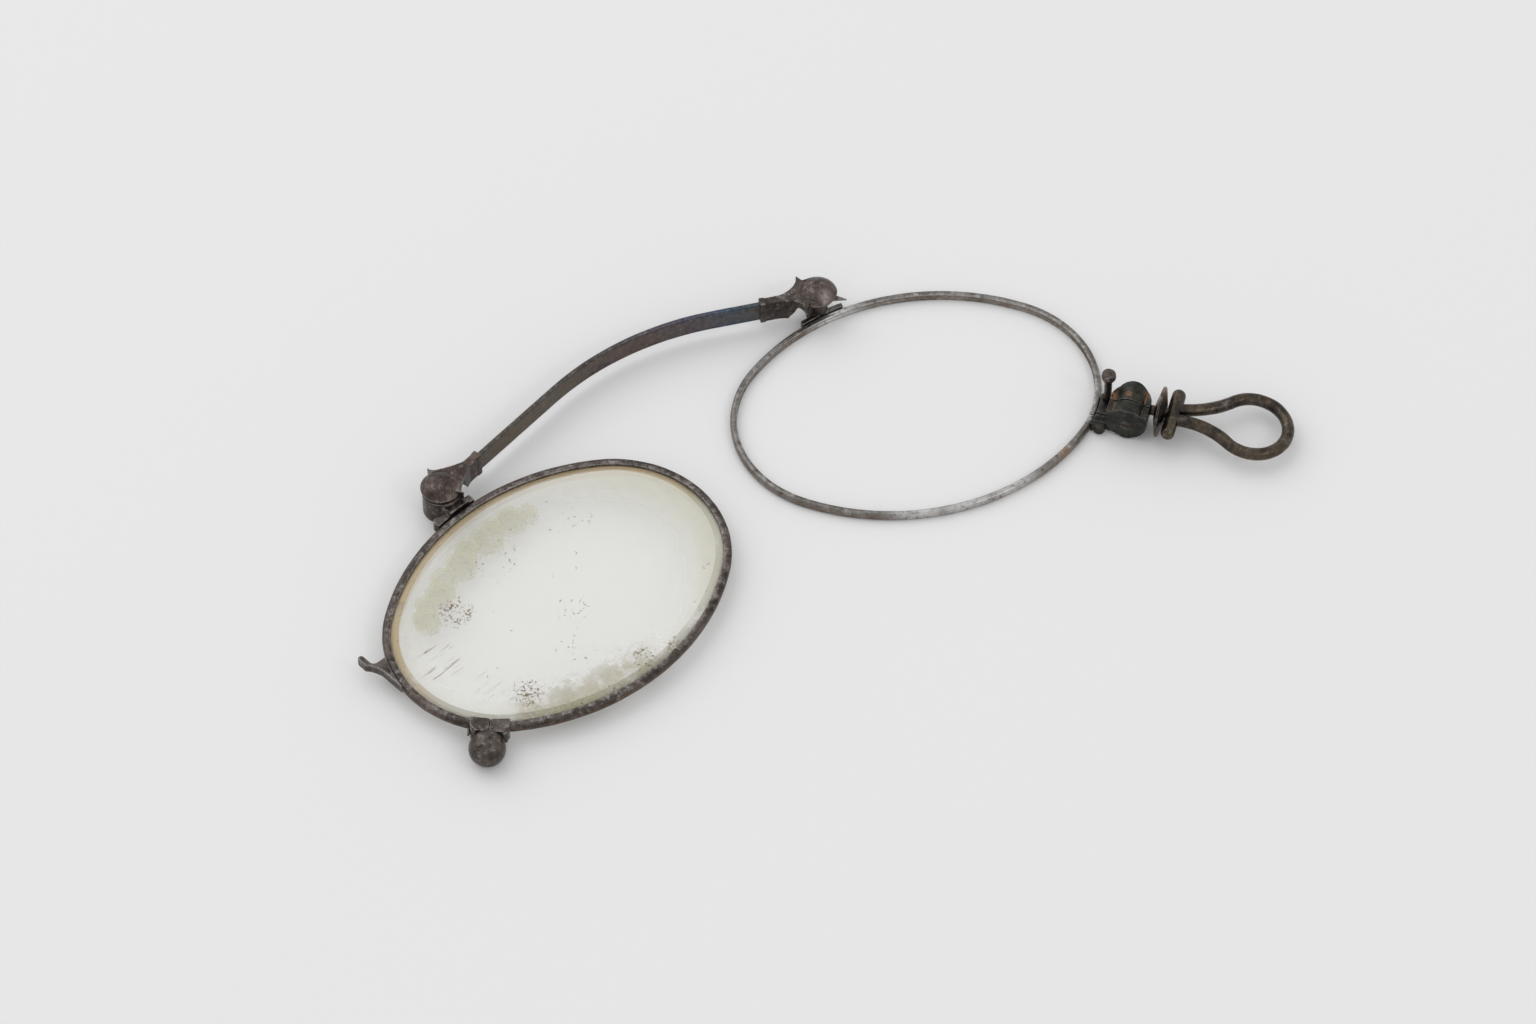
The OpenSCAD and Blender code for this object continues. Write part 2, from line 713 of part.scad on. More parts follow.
module handle_block_front() {
    color(steel_rust) at_right_eye() difference() {
        union() {
            at_handle() intersection() {
                block_form();
                translate([-4, -8 - block_cut - saw_cut / 2, -1]) cube([8, 8, 8]);
            }
            at_handle() translate([-5, -block_cut - saw_cut / 2 - 1.1, block_lift])
                cube([3.6, 1.1, neck_top - block_lift]);
        }
        oval_block(right_a, right_b, end_radius, right_wire_width, -1, 3);
        at_handle() translate([0, -block_front - 1, screw_height]) rotate([-90, 0, 0]) {
            cylinder(r = right_screw_radius, h = 4, $fn = 40);
            cylinder(r = right_screw_head, h = 1.35, $fn = 40);
        }
    }
}

module right_closing_screw() {
    color(steel_light) at_right_eye() at_handle()
        translate([0, -block_front - 0.08, screw_height]) rotate([-90, 0, 0]) difference() {
            union() {
                cylinder(r = right_screw_radius, h = block_front + 0.9, $fn = 40);
                cylinder(r = right_screw_head, h = 0.43, $fn = 40);
            }
            translate([-1, -0.07, -1]) cube([2, 0.14, 1.15]);
        }
}

module stud_stem() {
    translate([stud_along, stud_side, 0.6])
        cylinder(r = stud_radius, h = stud_height - 0.6, $fn = 40);
}

module catch_stud() {
    color(steel_dark) at_right_eye() {
        stud_stem();
        translate([stud_along, stud_side, stud_height]) rotate_extrude($fn = 64)
            polygon([[0, 0], [button_radius * 0.75, 0], [button_radius * 0.95, button_thick * 0.2],
                [button_radius, button_thick * 0.45], [button_radius * 0.9, button_thick * 0.8],
                [button_radius * 0.6, button_thick], [0, button_thick]]);
    }
}

// Lug on the near end of the right eyewire
lug_side = -9.07;
module closing_lug() {
    color(steel_rust) at_right_eye() difference() {
        union() {
            translate([lug_along, lug_side, 0.15]) cylinder(r = 0.6, h = 1.1, $fn = 40);
            translate([lug_along - 0.5, lug_side + 0.75, 0.15]) cylinder(r = 0.6, h = 1.1, $fn = 40);
        }
        oval_block(right_a, right_b, end_radius, right_wire_width, -1, 3);
        at_handle() block_form();
        at_handle() translate([-5, -block_cut - saw_cut / 2 - 1.1 - 0.05, 0]) cube([5, 2, 3]);
    }
}

// Thin round collar with a thicker hub
module collar_disc() {
    color(steel_dark) at_right_eye() at_handle()
        translate([collar_at, 0, handle_height]) rotate([0, 90, 0]) rotate_extrude($fn = 96)
            polygon([[stem_radius, -disc_thick / 2], [stem_radius + 0.5, -disc_thick / 2],
                [disc_radius, -disc_edge / 2], [disc_radius, disc_edge / 2],
                [stem_radius + 0.5, disc_thick / 2], [stem_radius, disc_thick / 2]]);
}

module handle_crossbar() {
    body = bar_length / 2 - bar_radius;
    color(steel_dark) at_right_eye() at_handle() {
        difference() {
            translate([1, 0, handle_height]) rotate([0, 90, 0])
                cylinder(r = stem_radius, h = bar_at - 1, $fn = 48);
            block_form();
        }
        translate([bar_at, 0, handle_height]) {
            rotate([90, 0, 0]) cylinder(r = bar_radius, h = 2 * body, center = true, $fn = 48);
            for (side = [-1, 1]) translate([0, side * body, 0]) sphere(r = bar_radius, $fn = 48);
        }
    }
}

// Start of the shoulder arc on one side of the loop, from the tangent circles
function shoulder_x(rs, sag) = loop_reach
    - sqrt(pow(loop_radius + rs, 2) - pow(loop_neck + rs + sag, 2));
function shoulder_angle(rs, sag) = atan2(loop_neck + rs + sag, loop_reach - shoulder_x(rs, sag));

// One side of the loop: a straight wire and a shoulder arc; side is 1 far or -1 near
module loop_side(rs, sag, side) {
    x = shoulder_x(rs, sag);
    turn = 90 - shoulder_angle(rs, sag);
    mirror([0, side > 0 ? 0 : 1, 0]) {
        translate([0, loop_neck, 0]) rotate([0, 90, 0])
            cylinder(r = loop_wire, h = x + lap, $fn = 32);
        translate([x, loop_neck + rs, 0]) rotate([0, 0, -90])
            rotate_extrude(angle = turn, $fn = 180) translate([rs, 0])
                circle(r = loop_wire - proud, $fn = 32);
    }
}

module handle_loop() {
    far_end = 180 - shoulder_angle(far_shoulder, loop_sag) + 3 * lap_angle;
    near_end = 180 - shoulder_angle(near_shoulder, -loop_sag) + 3 * lap_angle;
    color(steel_dark) at_right_eye() at_handle() difference() {
        translate([bar_at, 0, handle_height]) rotate([0, loop_droop, loop_turn]) {
            loop_side(far_shoulder, loop_sag, 1);
            loop_side(near_shoulder, -loop_sag, -1);
            translate([loop_reach, -loop_sag, 0]) rotate([0, 0, -near_end])
                rotate_extrude(angle = far_end + near_end, $fn = 120)
                    translate([loop_radius, 0]) circle(r = loop_wire, $fn = 32);
        }
        translate([bar_at, 0, handle_height]) rotate([90, 0, 0])
            cylinder(r = bar_radius, h = 4, center = true, $fn = 48);
        translate([bar_at - 3, -3, 0]) cube([3, 6, 6]);
    }
}

bridge_spring();
left_ferrule();
right_ferrule();
left_hinge_pin();
right_hinge_pin();
left_barrel();
left_eyewire();
left_lens();
catch_hook();
left_block_a();
left_block_b();
left_closing_screw();
ball_knob();
right_barrel();
right_eyewire();
catch_stud();
closing_lug();
handle_block_rear();
handle_block_front();
right_closing_screw();
collar_disc();
handle_crossbar();
handle_loop();
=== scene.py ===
"""Looks of the folding steel spectacles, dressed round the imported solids.

Every solid but the lens is steel. Wires and the ribbon are swept along their paths by a
Geometry Nodes tree; the forged pieces are softened copies of their solids. Work is done in
millimetres and scaled to metres at the end of each piece.
"""

from __future__ import annotations

import json
import logging
import math
from dataclasses import dataclass
from enum import Enum
from typing import Any, Callable, Iterable, Sequence

import bmesh
import bpy
import numpy as np
from mathutils import Matrix, Vector

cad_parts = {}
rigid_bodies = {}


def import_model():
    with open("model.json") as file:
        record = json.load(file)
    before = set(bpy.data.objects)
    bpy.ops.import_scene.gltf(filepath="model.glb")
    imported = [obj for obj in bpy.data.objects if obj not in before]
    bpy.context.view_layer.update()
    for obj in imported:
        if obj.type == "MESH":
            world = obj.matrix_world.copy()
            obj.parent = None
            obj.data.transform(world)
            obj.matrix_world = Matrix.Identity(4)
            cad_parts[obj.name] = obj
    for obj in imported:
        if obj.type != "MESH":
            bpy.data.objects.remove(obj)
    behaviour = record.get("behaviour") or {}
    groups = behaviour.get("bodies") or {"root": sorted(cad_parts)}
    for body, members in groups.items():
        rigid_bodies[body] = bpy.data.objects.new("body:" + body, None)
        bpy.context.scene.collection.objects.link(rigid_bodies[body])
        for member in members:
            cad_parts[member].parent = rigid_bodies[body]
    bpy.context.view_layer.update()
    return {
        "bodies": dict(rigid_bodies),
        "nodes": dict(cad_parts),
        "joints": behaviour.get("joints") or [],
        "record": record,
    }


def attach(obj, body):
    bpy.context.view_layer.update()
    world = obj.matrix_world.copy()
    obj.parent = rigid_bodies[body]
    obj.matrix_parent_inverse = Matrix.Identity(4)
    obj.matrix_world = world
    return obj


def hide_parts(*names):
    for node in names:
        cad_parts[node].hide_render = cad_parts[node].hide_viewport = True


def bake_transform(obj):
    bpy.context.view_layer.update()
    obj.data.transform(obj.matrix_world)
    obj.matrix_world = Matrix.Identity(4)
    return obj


LOG = logging.getLogger("spectacles")
MM = 0.001
Colour = tuple[float, float, float]
Point = tuple[float, float]


class Slot(Enum):
    """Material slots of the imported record."""

    DARK = "steel_dark"
    BROWN = "steel_brown"
    LIGHT = "steel_light"
    BLUE = "steel_blue"
    RUST = "steel_rust"
    GLASS = "glass_clear"


class Look(Enum):
    """Finishes of steel, by their names in Finishes."""

    DARK = "dark"
    BROWN = "brown"
    LIGHT = "light"
    RUST = "rust"
    TEMPER = "temper"
    HANDLED = "handled"

    @property
    def slot(self) -> Slot:
        """The record's slot that the finish belongs to."""
        return LOOK_SLOTS[self]


LOOK_SLOTS = {
    Look.DARK: Slot.DARK,
    Look.BROWN: Slot.BROWN,
    Look.LIGHT: Slot.LIGHT,
    Look.RUST: Slot.RUST,
    Look.TEMPER: Slot.BLUE,
    Look.HANDLED: Slot.DARK,
}


class Body(Enum):
    """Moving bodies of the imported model."""

    BOW = "bridge_bow"
    BRIDGE_LEFT = "bridge_left"
    BRIDGE_RIGHT = "bridge_right"
    LEFT_EYE = "left_eye"
    RIGHT_EYE = "right_eye"


# Shader maths ---------------------------------------------------------------------------


class Wire:
    """A number on its way through a shader tree; arithmetic on it adds Math nodes."""

    def __init__(self, bench: "Bench", socket: bpy.types.NodeSocket) -> None:
        """Keeps the socket.

        Args:
            bench: the tree that the socket belongs to.
            socket: the output that gives the number.
        """
        self.bench = bench
        self.socket = socket

    def __add__(self, other: Any) -> "Wire":
        """Sum."""
        return self.bench.math("ADD", self, other)

    __radd__ = __add__

    def __mul__(self, other: Any) -> "Wire":
        """Product."""
        return self.bench.math("MULTIPLY", self, other)

    __rmul__ = __mul__

    def __sub__(self, other: Any) -> "Wire":
        """Difference."""
        return self.bench.math("SUBTRACT", self, other)

    def __rsub__(self, other: Any) -> "Wire":
        """Difference with the wire as the part taken away."""
        return self.bench.math("SUBTRACT", other, self)

    def __truediv__(self, other: Any) -> "Wire":
        """Quotient."""
        return self.bench.math("DIVIDE", self, other)

    def power(self, other: Any) -> "Wire":
        """The wire raised to a power."""
        return self.bench.math("POWER", self, other)

    def most(self, other: Any) -> "Wire":
        """The larger of two numbers."""
        return self.bench.math("MAXIMUM", self, other)

    def clamp(self) -> "Wire":
        """The wire held between 0 and 1."""
        return self.bench.math("ADD", self, 0.0, clamp=True)

    def rise(self, low: float, high: float) -> "Wire":
        """A smooth step from 0 at low to 1 at high.

        Args:
            low: value at which the step starts.
            high: value at which it ends; it is above low.

        Returns:
            The step, from 0 to 1.
        """
        node = self.bench.node(
            "ShaderNodeMapRange",
            {"interpolation_type": "SMOOTHSTEP"},
            {"Value": self, "From Min": low, "From Max": high},
        )
        return Wire(self.bench, node.outputs[0])


class Bench:
    """A material's node tree, with short ways to add nodes to it."""

    def __init__(self, name: str) -> None:
        """Starts a material with an empty tree.

        Args:
            name: the material's name.
        """
        self.material = bpy.data.materials.new(name)
        self.material.use_nodes = True
        self.tree = self.material.node_tree
        self.tree.nodes.clear()

    def node(
        self,
        kind: str,
        settings: dict[str, Any] | None = None,
        values: dict[Any, Any] | None = None,
    ) -> bpy.types.Node:
        """Adds a node.

        Args:
            kind: the node's type.
            settings: properties, which are set first; "stops" is a ramp's list of stops.
            values: numbers, colours or links for its inputs, by name or by place.

        Returns:
            The new node.
        """
        made = self.tree.nodes.new(kind)
        for key, value in (settings or {}).items():
            if key == "stops":
                ramp = made.color_ramp
                while len(ramp.elements) < len(value):
                    ramp.elements.new(0.5)
                for element, (place, colour) in zip(ramp.elements, value):
                    element.position = place
                    element.color = (*colour, 1.0)
            else:
                setattr(made, key, value)
        for key, value in (values or {}).items():
            if isinstance(value, Wire):
                value = value.socket
            if isinstance(value, bpy.types.NodeSocket):
                self.tree.links.new(value, made.inputs[key])
            elif made.inputs[key].type == "RGBA" and len(value) == 3:
                made.inputs[key].default_value = (*value, 1.0)
            else:
                made.inputs[key].default_value = value
        return made

    def math(self, operation: str, a: Any, b: Any, clamp: bool = False) -> Wire:
        """A Math node on two numbers, either of which may be a wire."""
        settings = {"operation": operation, "use_clamp": clamp}
        return Wire(self, self.node("ShaderNodeMath", settings, {0: a, 1: b}).outputs[0])

    def blend(self, share: Wire, first: Any, second: Any) -> bpy.types.NodeSocket:
        """Mixes two colours.

        Args:
            share: how much of the second colour shows, from 0 to 1.
            first: colour or link at 0.
            second: colour or link at 1.

        Returns:
            The mixed colour's socket.
        """
        colours = {0: share, 6: first, 7: second}
        made = self.node("ShaderNodeMix", {"data_type": "RGBA"}, colours)
        return made.outputs[2]

    def attribute(self, name: str) -> Wire:
        """A float attribute of the mesh."""
        made = self.node("ShaderNodeAttribute", {"attribute_name": name})
        return Wire(self, made.outputs["Fac"])

    def millimetres(self, origin: Vector | None = None, turn: float = 0.0) -> bpy.types.NodeSocket:
        """Object coordinates in millimetres.

        Args:
            origin: point that becomes zero, in millimetres.
            turn: angle in degrees of the axis that becomes the first one.

        Returns:
            The coordinates' socket.
        """
        unturn = Matrix.Rotation(-math.radians(turn), 3, "Z")
        shift = -(unturn @ (origin or Vector()))
        texture = self.node("ShaderNodeTexCoord")
        made = self.node(
            "ShaderNodeMapping",
            {"vector_type": "POINT"},
            {
                "Vector": texture.outputs["Object"],
                "Location": tuple(shift),
                "Rotation": (0.0, 0.0, -math.radians(turn)),
                "Scale": (1 / MM,) * 3,
            },
        )
        return made.outputs[0]

    def noise(self, vector: bpy.types.NodeSocket, scale: float, detail: float = 3.0,
              seed: float = 0.0, rough: float = 0.5) -> Wire:
        """Fractal noise.

        Args:
            vector: the point, in millimetres.
            scale: turns a millimetre.
            detail: number of finer layers.
            seed: place in the fourth direction.
            rough: how strong the finer layers are.

        Returns:
            The noise, from 0 to 1 round 0.5.
        """
        made = self.node(
            "ShaderNodeTexNoise",
            {"noise_dimensions": "4D"},
            {"Vector": vector, "W": seed, "Scale": scale, "Detail": detail, "Roughness": rough},
        )
        return Wire(self, made.outputs[0])

    def cells(self, vector: bpy.types.NodeSocket, scale: float, feature: str = "F1") -> Wire:
        """Distance to the nearest of scattered points, or to the border between two.

        Args:
            vector: the point, in millimetres.
            scale: points a millimetre.
            feature: which of the two distances.

        Returns:
            The distance, in the cells' own size.
        """
        made = self.node(
            "ShaderNodeTexVoronoi", {"feature": feature}, {"Vector": vector, "Scale": scale}
        )
        return Wire(self, made.outputs["Distance"])

    def bump(self, height: Wire, strength: float, depth: float) -> bpy.types.NodeSocket:
        """A Bump node.

        Args:
            height: the height, from 0 to 1.
            strength: how much of it shows.
            depth: what a height of 1 stands for, in metres.

        Returns:
            The normal's socket.
        """
        made = self.node(
            "ShaderNodeBump", None, {"Strength": strength, "Distance": depth, "Height": height}
        )
        return made.outputs[0]

    def close(self, shader: bpy.types.NodeSocket) -> bpy.types.Material:
        """Joins a shader to the output and gives the finished material."""
        self.node("ShaderNodeOutputMaterial", None, {"Surface": shader})
        return self.material


# Finishes -------------------------------------------------------------------------------


@dataclass(frozen=True)
class Patch:
    """A round patch of a surface: centre and radius in millimetres, and its strength."""

    x: float
    y: float
    radius: float
    share: float = 1.0

    def distance(self, x: Wire, y: Wire) -> Wire:
        """Distance of a point from the centre."""
        dx, dy = x - self.x, y - self.y
        return (dx * dx + dy * dy).power(0.5)


@dataclass(frozen=True)
class SteelFinish:
    """Old steel: two tones of patina, rust in corners, worn metal on edges and painted highlights.

    The listed bright patches are painted highlights, in places together with wear, drawn in the
    colour of worn metal, and the stained ones are rusted, wherever they are on the object. The
    relief of the grain is in metres.
    """

    name: str
    patina: Colour
    bloom: Colour
    worn: Colour
    rust: Colour
    wear: float = 0.6
    rusting: float = 0.4
    rough: float = 0.42
    metal: float = 0.85
    seed: float = 0.0
    speckle: float = 0.4
    relief: float = 0.00003
    # Bright patches of painted highlight, in places with wear, in the colour of worn metal
    highlit_and_rubbed: tuple[Patch, ...] = ()
    stained: tuple[Patch, ...] = ()

    def near(self, bench: Bench, place: bpy.types.NodeSocket, spots: tuple[Patch, ...],
             wobble: Wire) -> Wire:
        """How near a point is to the nearest of some ragged patches.

        Args:
            bench: the material's tree.
            place: the point, in millimetres.
            spots: the patches.
            wobble: noise round 0 that makes their borders ragged.

        Returns:
            1 in the middle of a patch, and 0 outside them all.
        """
        apart = bench.node("ShaderNodeSeparateXYZ", None, {0: place})
        x, y = Wire(bench, apart.outputs[0]), Wire(bench, apart.outputs[1])
        total: Any = 0.0
        for spot in spots:
            gap = spot.distance(x, y) + wobble * (0.6 + spot.radius * 0.4)
            total = (1.0 - gap.rise(spot.radius * 0.2, spot.radius)).most(total)
        return total

    def tone(self, bench: Bench, place: bpy.types.NodeSocket) -> bpy.types.NodeSocket:
        """Colour of the patina alone."""
        clouds = bench.noise(place, 0.42, 4.0, self.seed).rise(0.38, 0.62)
        return bench.blend(clouds, self.patina, self.bloom)

    def build(self) -> bpy.types.Material:
        """Makes the material.

        Returns:
            The finished material.
        """
        bench = Bench(self.name)
        place = bench.millimetres()
        wear = bench.attribute("wear")
        mottle = bench.noise(place, 1.9, 5.0, self.seed + 3.0, 0.62)
        grain = bench.noise(place, 7.0, 4.0, self.seed + 5.0, 0.6)
        pits = 1.0 - bench.cells(place, 2.6).rise(0.05, 0.3)
        pits = pits * bench.noise(place, 0.9, 2.0, self.seed + 9.0).rise(0.5, 0.64)
        clouds, sand = mottle - 0.5, grain - 0.5
        bare_and_highlit = (wear * 1.1 + clouds * 2.2 + sand * 0.9).rise(0.28, 0.95) * self.wear
        corner = (wear * -1.3 + clouds * 1.8).rise(0.35, 1.05) * self.rusting
        # Painted highlights: the listed bright patches are drawn like worn edges, in the colour of
        # worn metal
        if self.highlit_and_rubbed:
            highlit_and_rubbed = self.near(bench, place, self.highlit_and_rubbed, clouds * 2.0)
            bare_and_highlit = bare_and_highlit.most(highlit_and_rubbed * mottle.rise(0.22, 0.62) * 0.8)
        if self.stained:
            stained = self.near(bench, place, self.stained, clouds * 3.0)
            corner = corner.most(stained * (mottle * 0.5 + grain * 0.5).rise(0.34, 0.64))
        speckle = clouds * 1.6 + sand * 0.8
        shade = tuple(c * 0.4 for c in self.patina)
        hollow = tuple(c * 0.35 for c in self.patina)
        colour = self.tone(bench, place)
        colour = bench.blend(speckle.rise(0.03, 0.34) * self.speckle, colour, self.worn)
        colour = bench.blend((0.0 - speckle).rise(0.03, 0.32) * 0.75, colour, shade)
        colour = bench.blend(corner.clamp(), colour, self.rust)
        # Worn edges and painted highlights, both in the colour of worn metal
        colour = bench.blend(bare_and_highlit.clamp(), colour, self.worn)
        colour = bench.blend(pits * 0.7, colour, hollow)
        roughness = self.rough + clouds * 0.35 + corner * 0.3 - bare_and_highlit * 0.12 + pits * 0.2
        metallic = self.metal - corner * 0.75 - pits * 0.3
        height = mottle * 0.55 + grain * 0.3 - pits * 0.9
        steel = bench.node(
            "ShaderNodeBsdfPrincipled",
            None,
            {
                "Base Color": colour,
                "Roughness": roughness.clamp(),
                "Metallic": metallic.clamp(),
                "Normal": bench.bump(height, 0.5, self.relief),
            },
        )
        return bench.close(steel.outputs[0])


@dataclass(frozen=True)
class TemperFinish(SteelFinish):
    """Spring steel whose temper colours run along the ribbon."""

    stops: tuple[tuple[float, Colour], ...] = ()

    def tone(self, bench: Bench, place: bpy.types.NodeSocket) -> bpy.types.NodeSocket:
        """Temper colours by the share of the ribbon's length.

        Args:
            bench: the material's tree.
            place: the point, in millimetres.

        Returns:
            The colour's socket.
        """
        along = bench.attribute("along") + (bench.noise(place, 0.5, 3.0, 2.0) - 0.5) * 0.12
        ramp = bench.node("ShaderNodeValToRGB", {"stops": self.stops}, {0: along})
        return ramp.outputs[0]


class LensFace:
    """The places and the clouds that all the marks on the lens are drawn with."""

    def __init__(self, bench: Bench, place: bpy.types.NodeSocket, half: Point) -> None:
        """Lays the lens out.

        Args:
            bench: the material's tree.
            place: points from the lens's centre, in millimetres.
            half: half length and half width of the lens.
        """
        self.bench, self.place = bench, place
        apart = bench.node("ShaderNodeSeparateXYZ", None, {0: place})
        self.x, self.y = Wire(bench, apart.outputs[0]), Wire(bench, apart.outputs[1])
        across, along = self.x / half[0], self.y / half[1]
        self.reach = (across * across + along * along).power(0.5)
        self.mottle = bench.noise(place, 0.55, 5.0, 1.0, 0.6)
        self.fine = bench.noise(place, 2.4, 4.0, 4.0, 0.65)

    def patches(self, spots: tuple[Patch, ...]) -> Wire:
        """Soft round patches.

        Args:
            spots: the patches, each with its own strength.

        Returns:
            Their sum, held to 1.
        """
        total: Any = 0.0
        for spot in spots:
            gap = spot.distance(self.x, self.y) + (self.mottle - 0.5) * 1.5
            total = (1.0 - gap.rise(spot.radius * 0.45, spot.radius * 1.15)) * spot.share + total
        return total.clamp()


@dataclass(frozen=True)
class LensFinish:
    """Clear glass with dried marks, specks and scratches of long use.

    Places are from the lens's centre, the first axis along it.
    """

    name: str
    glass: Colour
    tide: Colour
    smear: Colour
    bevel: Colour
    low_bevel: Colour
    speck: Colour
    dust: Colour
    half: Point
    veil: float = 0.15
    body: float = 0.08
    drop_film: float = 0.21
    drop_line: float = 0.26
    drops: tuple[Patch, ...] = (
        Patch(4.8, 9.9, 1.0), Patch(2.8, 10.4, 1.6), Patch(0.9, 10.9, 1.1), Patch(-0.6, 10.2, 1.7),
        Patch(-2.9, 10.7, 1.2), Patch(-4.8, 9.5, 1.6), Patch(-7.4, 9.3, 1.3), Patch(-8.9, 8.2, 1.5),
        Patch(-11.0, 7.9, 1.1), Patch(-12.2, 6.5, 1.4),
    )
    flecked: tuple[Patch, ...] = (
        Patch(-9.2, 5.4, 2.1), Patch(0.6, -12.5, 1.4), Patch(-11.0, -7.4, 1.6),
        Patch(4.2, -13.3, 1.0), Patch(-4.1, -13.4, 1.2), Patch(-8.8, -12.4, 1.0),
    )
    dotted: tuple[Patch, ...] = (
        Patch(-0.2, -2.8, 2.4), Patch(-3.5, -6.4, 3.0), Patch(-2.0, 8.0, 3.4),
        Patch(7.0, 6.0, 3.0, 0.7),
    )
    scratched: tuple[Patch, ...] = (
        Patch(-15.4, 0.6, 3.4), Patch(-13.2, -4.0, 2.6, 0.7), Patch(-13.6, 3.7, 1.8),
    )
    crackled: tuple[Patch, ...] = (Patch(-11.2, -7.4, 2.6),)
    scratch_slant: float = -14.0

    def tide_marks(self, face: LensFace) -> Wire:
        """Dried drops along the upper edge, each a thin film with a darker border.

        Args:
            face: the lens's face.

        Returns:
            How much of the glass they cover.
        """
        wave = (face.fine - 0.5) * 1.1 + (face.mottle - 0.5)
        total: Any = 0.0
        for drop in self.drops:
            gap = drop.distance(face.x, face.y) + wave - drop.radius
            film = (1.0 - gap.rise(-0.25, 0.1)) * self.drop_film
            line = gap.rise(-0.45, -0.12) * (1.0 - gap.rise(-0.04, 0.12)) * self.drop_line
            total = (film + line).most(total)
        return total * (0.75 + (face.mottle - 0.5) * 0.8)

    def smears(self, face: LensFace) -> Wire:
        """Grease along the lower edge.

        Args:
            face: the lens's face.

        Returns:
            How much of the glass it covers.
        """
        ends = (1.0 - face.x.rise(-1.0, 5.0)) * face.x.rise(-16.0, -11.0)
        foot = face.reach.rise(0.6, 0.92) * (0.0 - face.y).rise(4.5, 9.0) * ends
        return foot * (face.mottle * 0.6 + face.fine * 0.4).rise(0.40, 0.62) * 0.62

    def haze(self, face: LensFace) -> Wire:
        """Thin dust towards the rim, most of it at the right-hand end.

        Args:
            face: the lens's face.

        Returns:
            How much of the glass it covers.
        """
        rim = face.reach.rise(0.70, 1.0) * 0.22
        end = face.x.rise(4.0, 16.0) * face.reach.rise(0.5, 1.0) * 0.26
        return (rim + end) * (0.55 + face.mottle * 0.6)

    def marks(self, face: LensFace) -> Wire:
        """Specks, crackle and scratches.

        Args:
            face: the lens's face.

        Returns:
            How much of the glass they cover.
        """
        bench, place, fine = face.bench, face.place, face.fine
        dots = bench.noise(place, 3.4, 2.0, 21.0, 0.4).rise(0.575, 0.63)
        many = face.patches(self.flecked) * fine.rise(0.38, 0.46)
        few = face.patches(self.dotted) * fine.rise(0.54, 0.60) * 0.75
        stray = bench.noise(place, 1.1, 2.0, 12.0).rise(0.66, 0.70) * 0.5
        cracks = 1.0 - bench.cells(place, 1.1, "DISTANCE_TO_EDGE").rise(0.012, 0.05)
        crackle = cracks * face.patches(self.crackled) * fine.rise(0.42, 0.52) * 0.45
        slant = bench.node(
            "ShaderNodeMapping",
            None,
            {
                "Vector": place,
                "Rotation": (0.0, 0.0, math.radians(self.scratch_slant)),
                "Scale": (0.28, 5.5, 1.0),
            },
        )
        lines = bench.noise(slant.outputs[0], 1.0, 2.0, 7.0).rise(0.61, 0.68)
        scratches = lines * face.patches(self.scratched) * 0.6
        return (dots * (many + few + stray) + crackle + scratches).clamp()

    def rim(self, face: LensFace) -> Wire:
        """Dirt on the bevel, most of it at the upper left.

        Args:
            face: the lens's face.

        Returns:
            How much of the bevel it covers.
        """
        share = 0.30 + face.y.rise(-6.0, 8.0) * 0.25 + (0.0 - face.x).rise(0.0, 14.0) * 0.15
        edge = face.bench.attribute("bevel") * (share - face.x.rise(2.0, 12.0) * 0.18)
        return edge * face.mottle.rise(0.2, 0.5)

    def build(self, origin: Vector, turn: float) -> bpy.types.Material:
        """Makes the material.

        Args:
            origin: centre of the lens in millimetres.
            turn: turn of the lens's long axis in degrees.

        Returns:
            The finished material.
        """
        bench = Bench(self.name)
        face = LensFace(bench, bench.millimetres(origin, turn), self.half)
        tide, smear, haze = self.tide_marks(face), self.smears(face), self.haze(face)
        marks, rim = self.marks(face), self.rim(face)
        film = (tide + smear + haze + self.veil).clamp()
        cover = (marks * 0.9).most(film).most(rim).clamp()
        warm = (tide.rise(0.02, 0.2) + haze.rise(0.02, 0.5) * 0.7).clamp()
        bevel = bench.blend(face.y.rise(-4.0, 3.0), self.low_bevel, self.bevel)
        colour = bench.blend(warm, self.dust, self.tide)
        colour = bench.blend(smear.rise(0.0, 0.3), colour, self.smear)
        colour = bench.blend(rim.rise(0.02, 0.25), colour, bevel)
        colour = bench.blend(marks.rise(0.05, 0.4), colour, self.speck)
        glass = bench.node(
            "ShaderNodeBsdfPrincipled",
            None,
            {"Base Color": self.glass, "Roughness": 0.02, "IOR": 1.5, "Transmission Weight": 1.0,
             "Alpha": self.body},
        )
        dirt = bench.node(
            "ShaderNodeBsdfPrincipled",
            None,
            {"Base Color": colour, "Roughness": 0.75, "Specular IOR Level": 0.2},
        )
        mixed = bench.node(
            "ShaderNodeMixShader", None, {0: cover, 1: glass.outputs[0], 2: dirt.outputs[0]}
        )
        return bench.close(mixed.outputs[0])


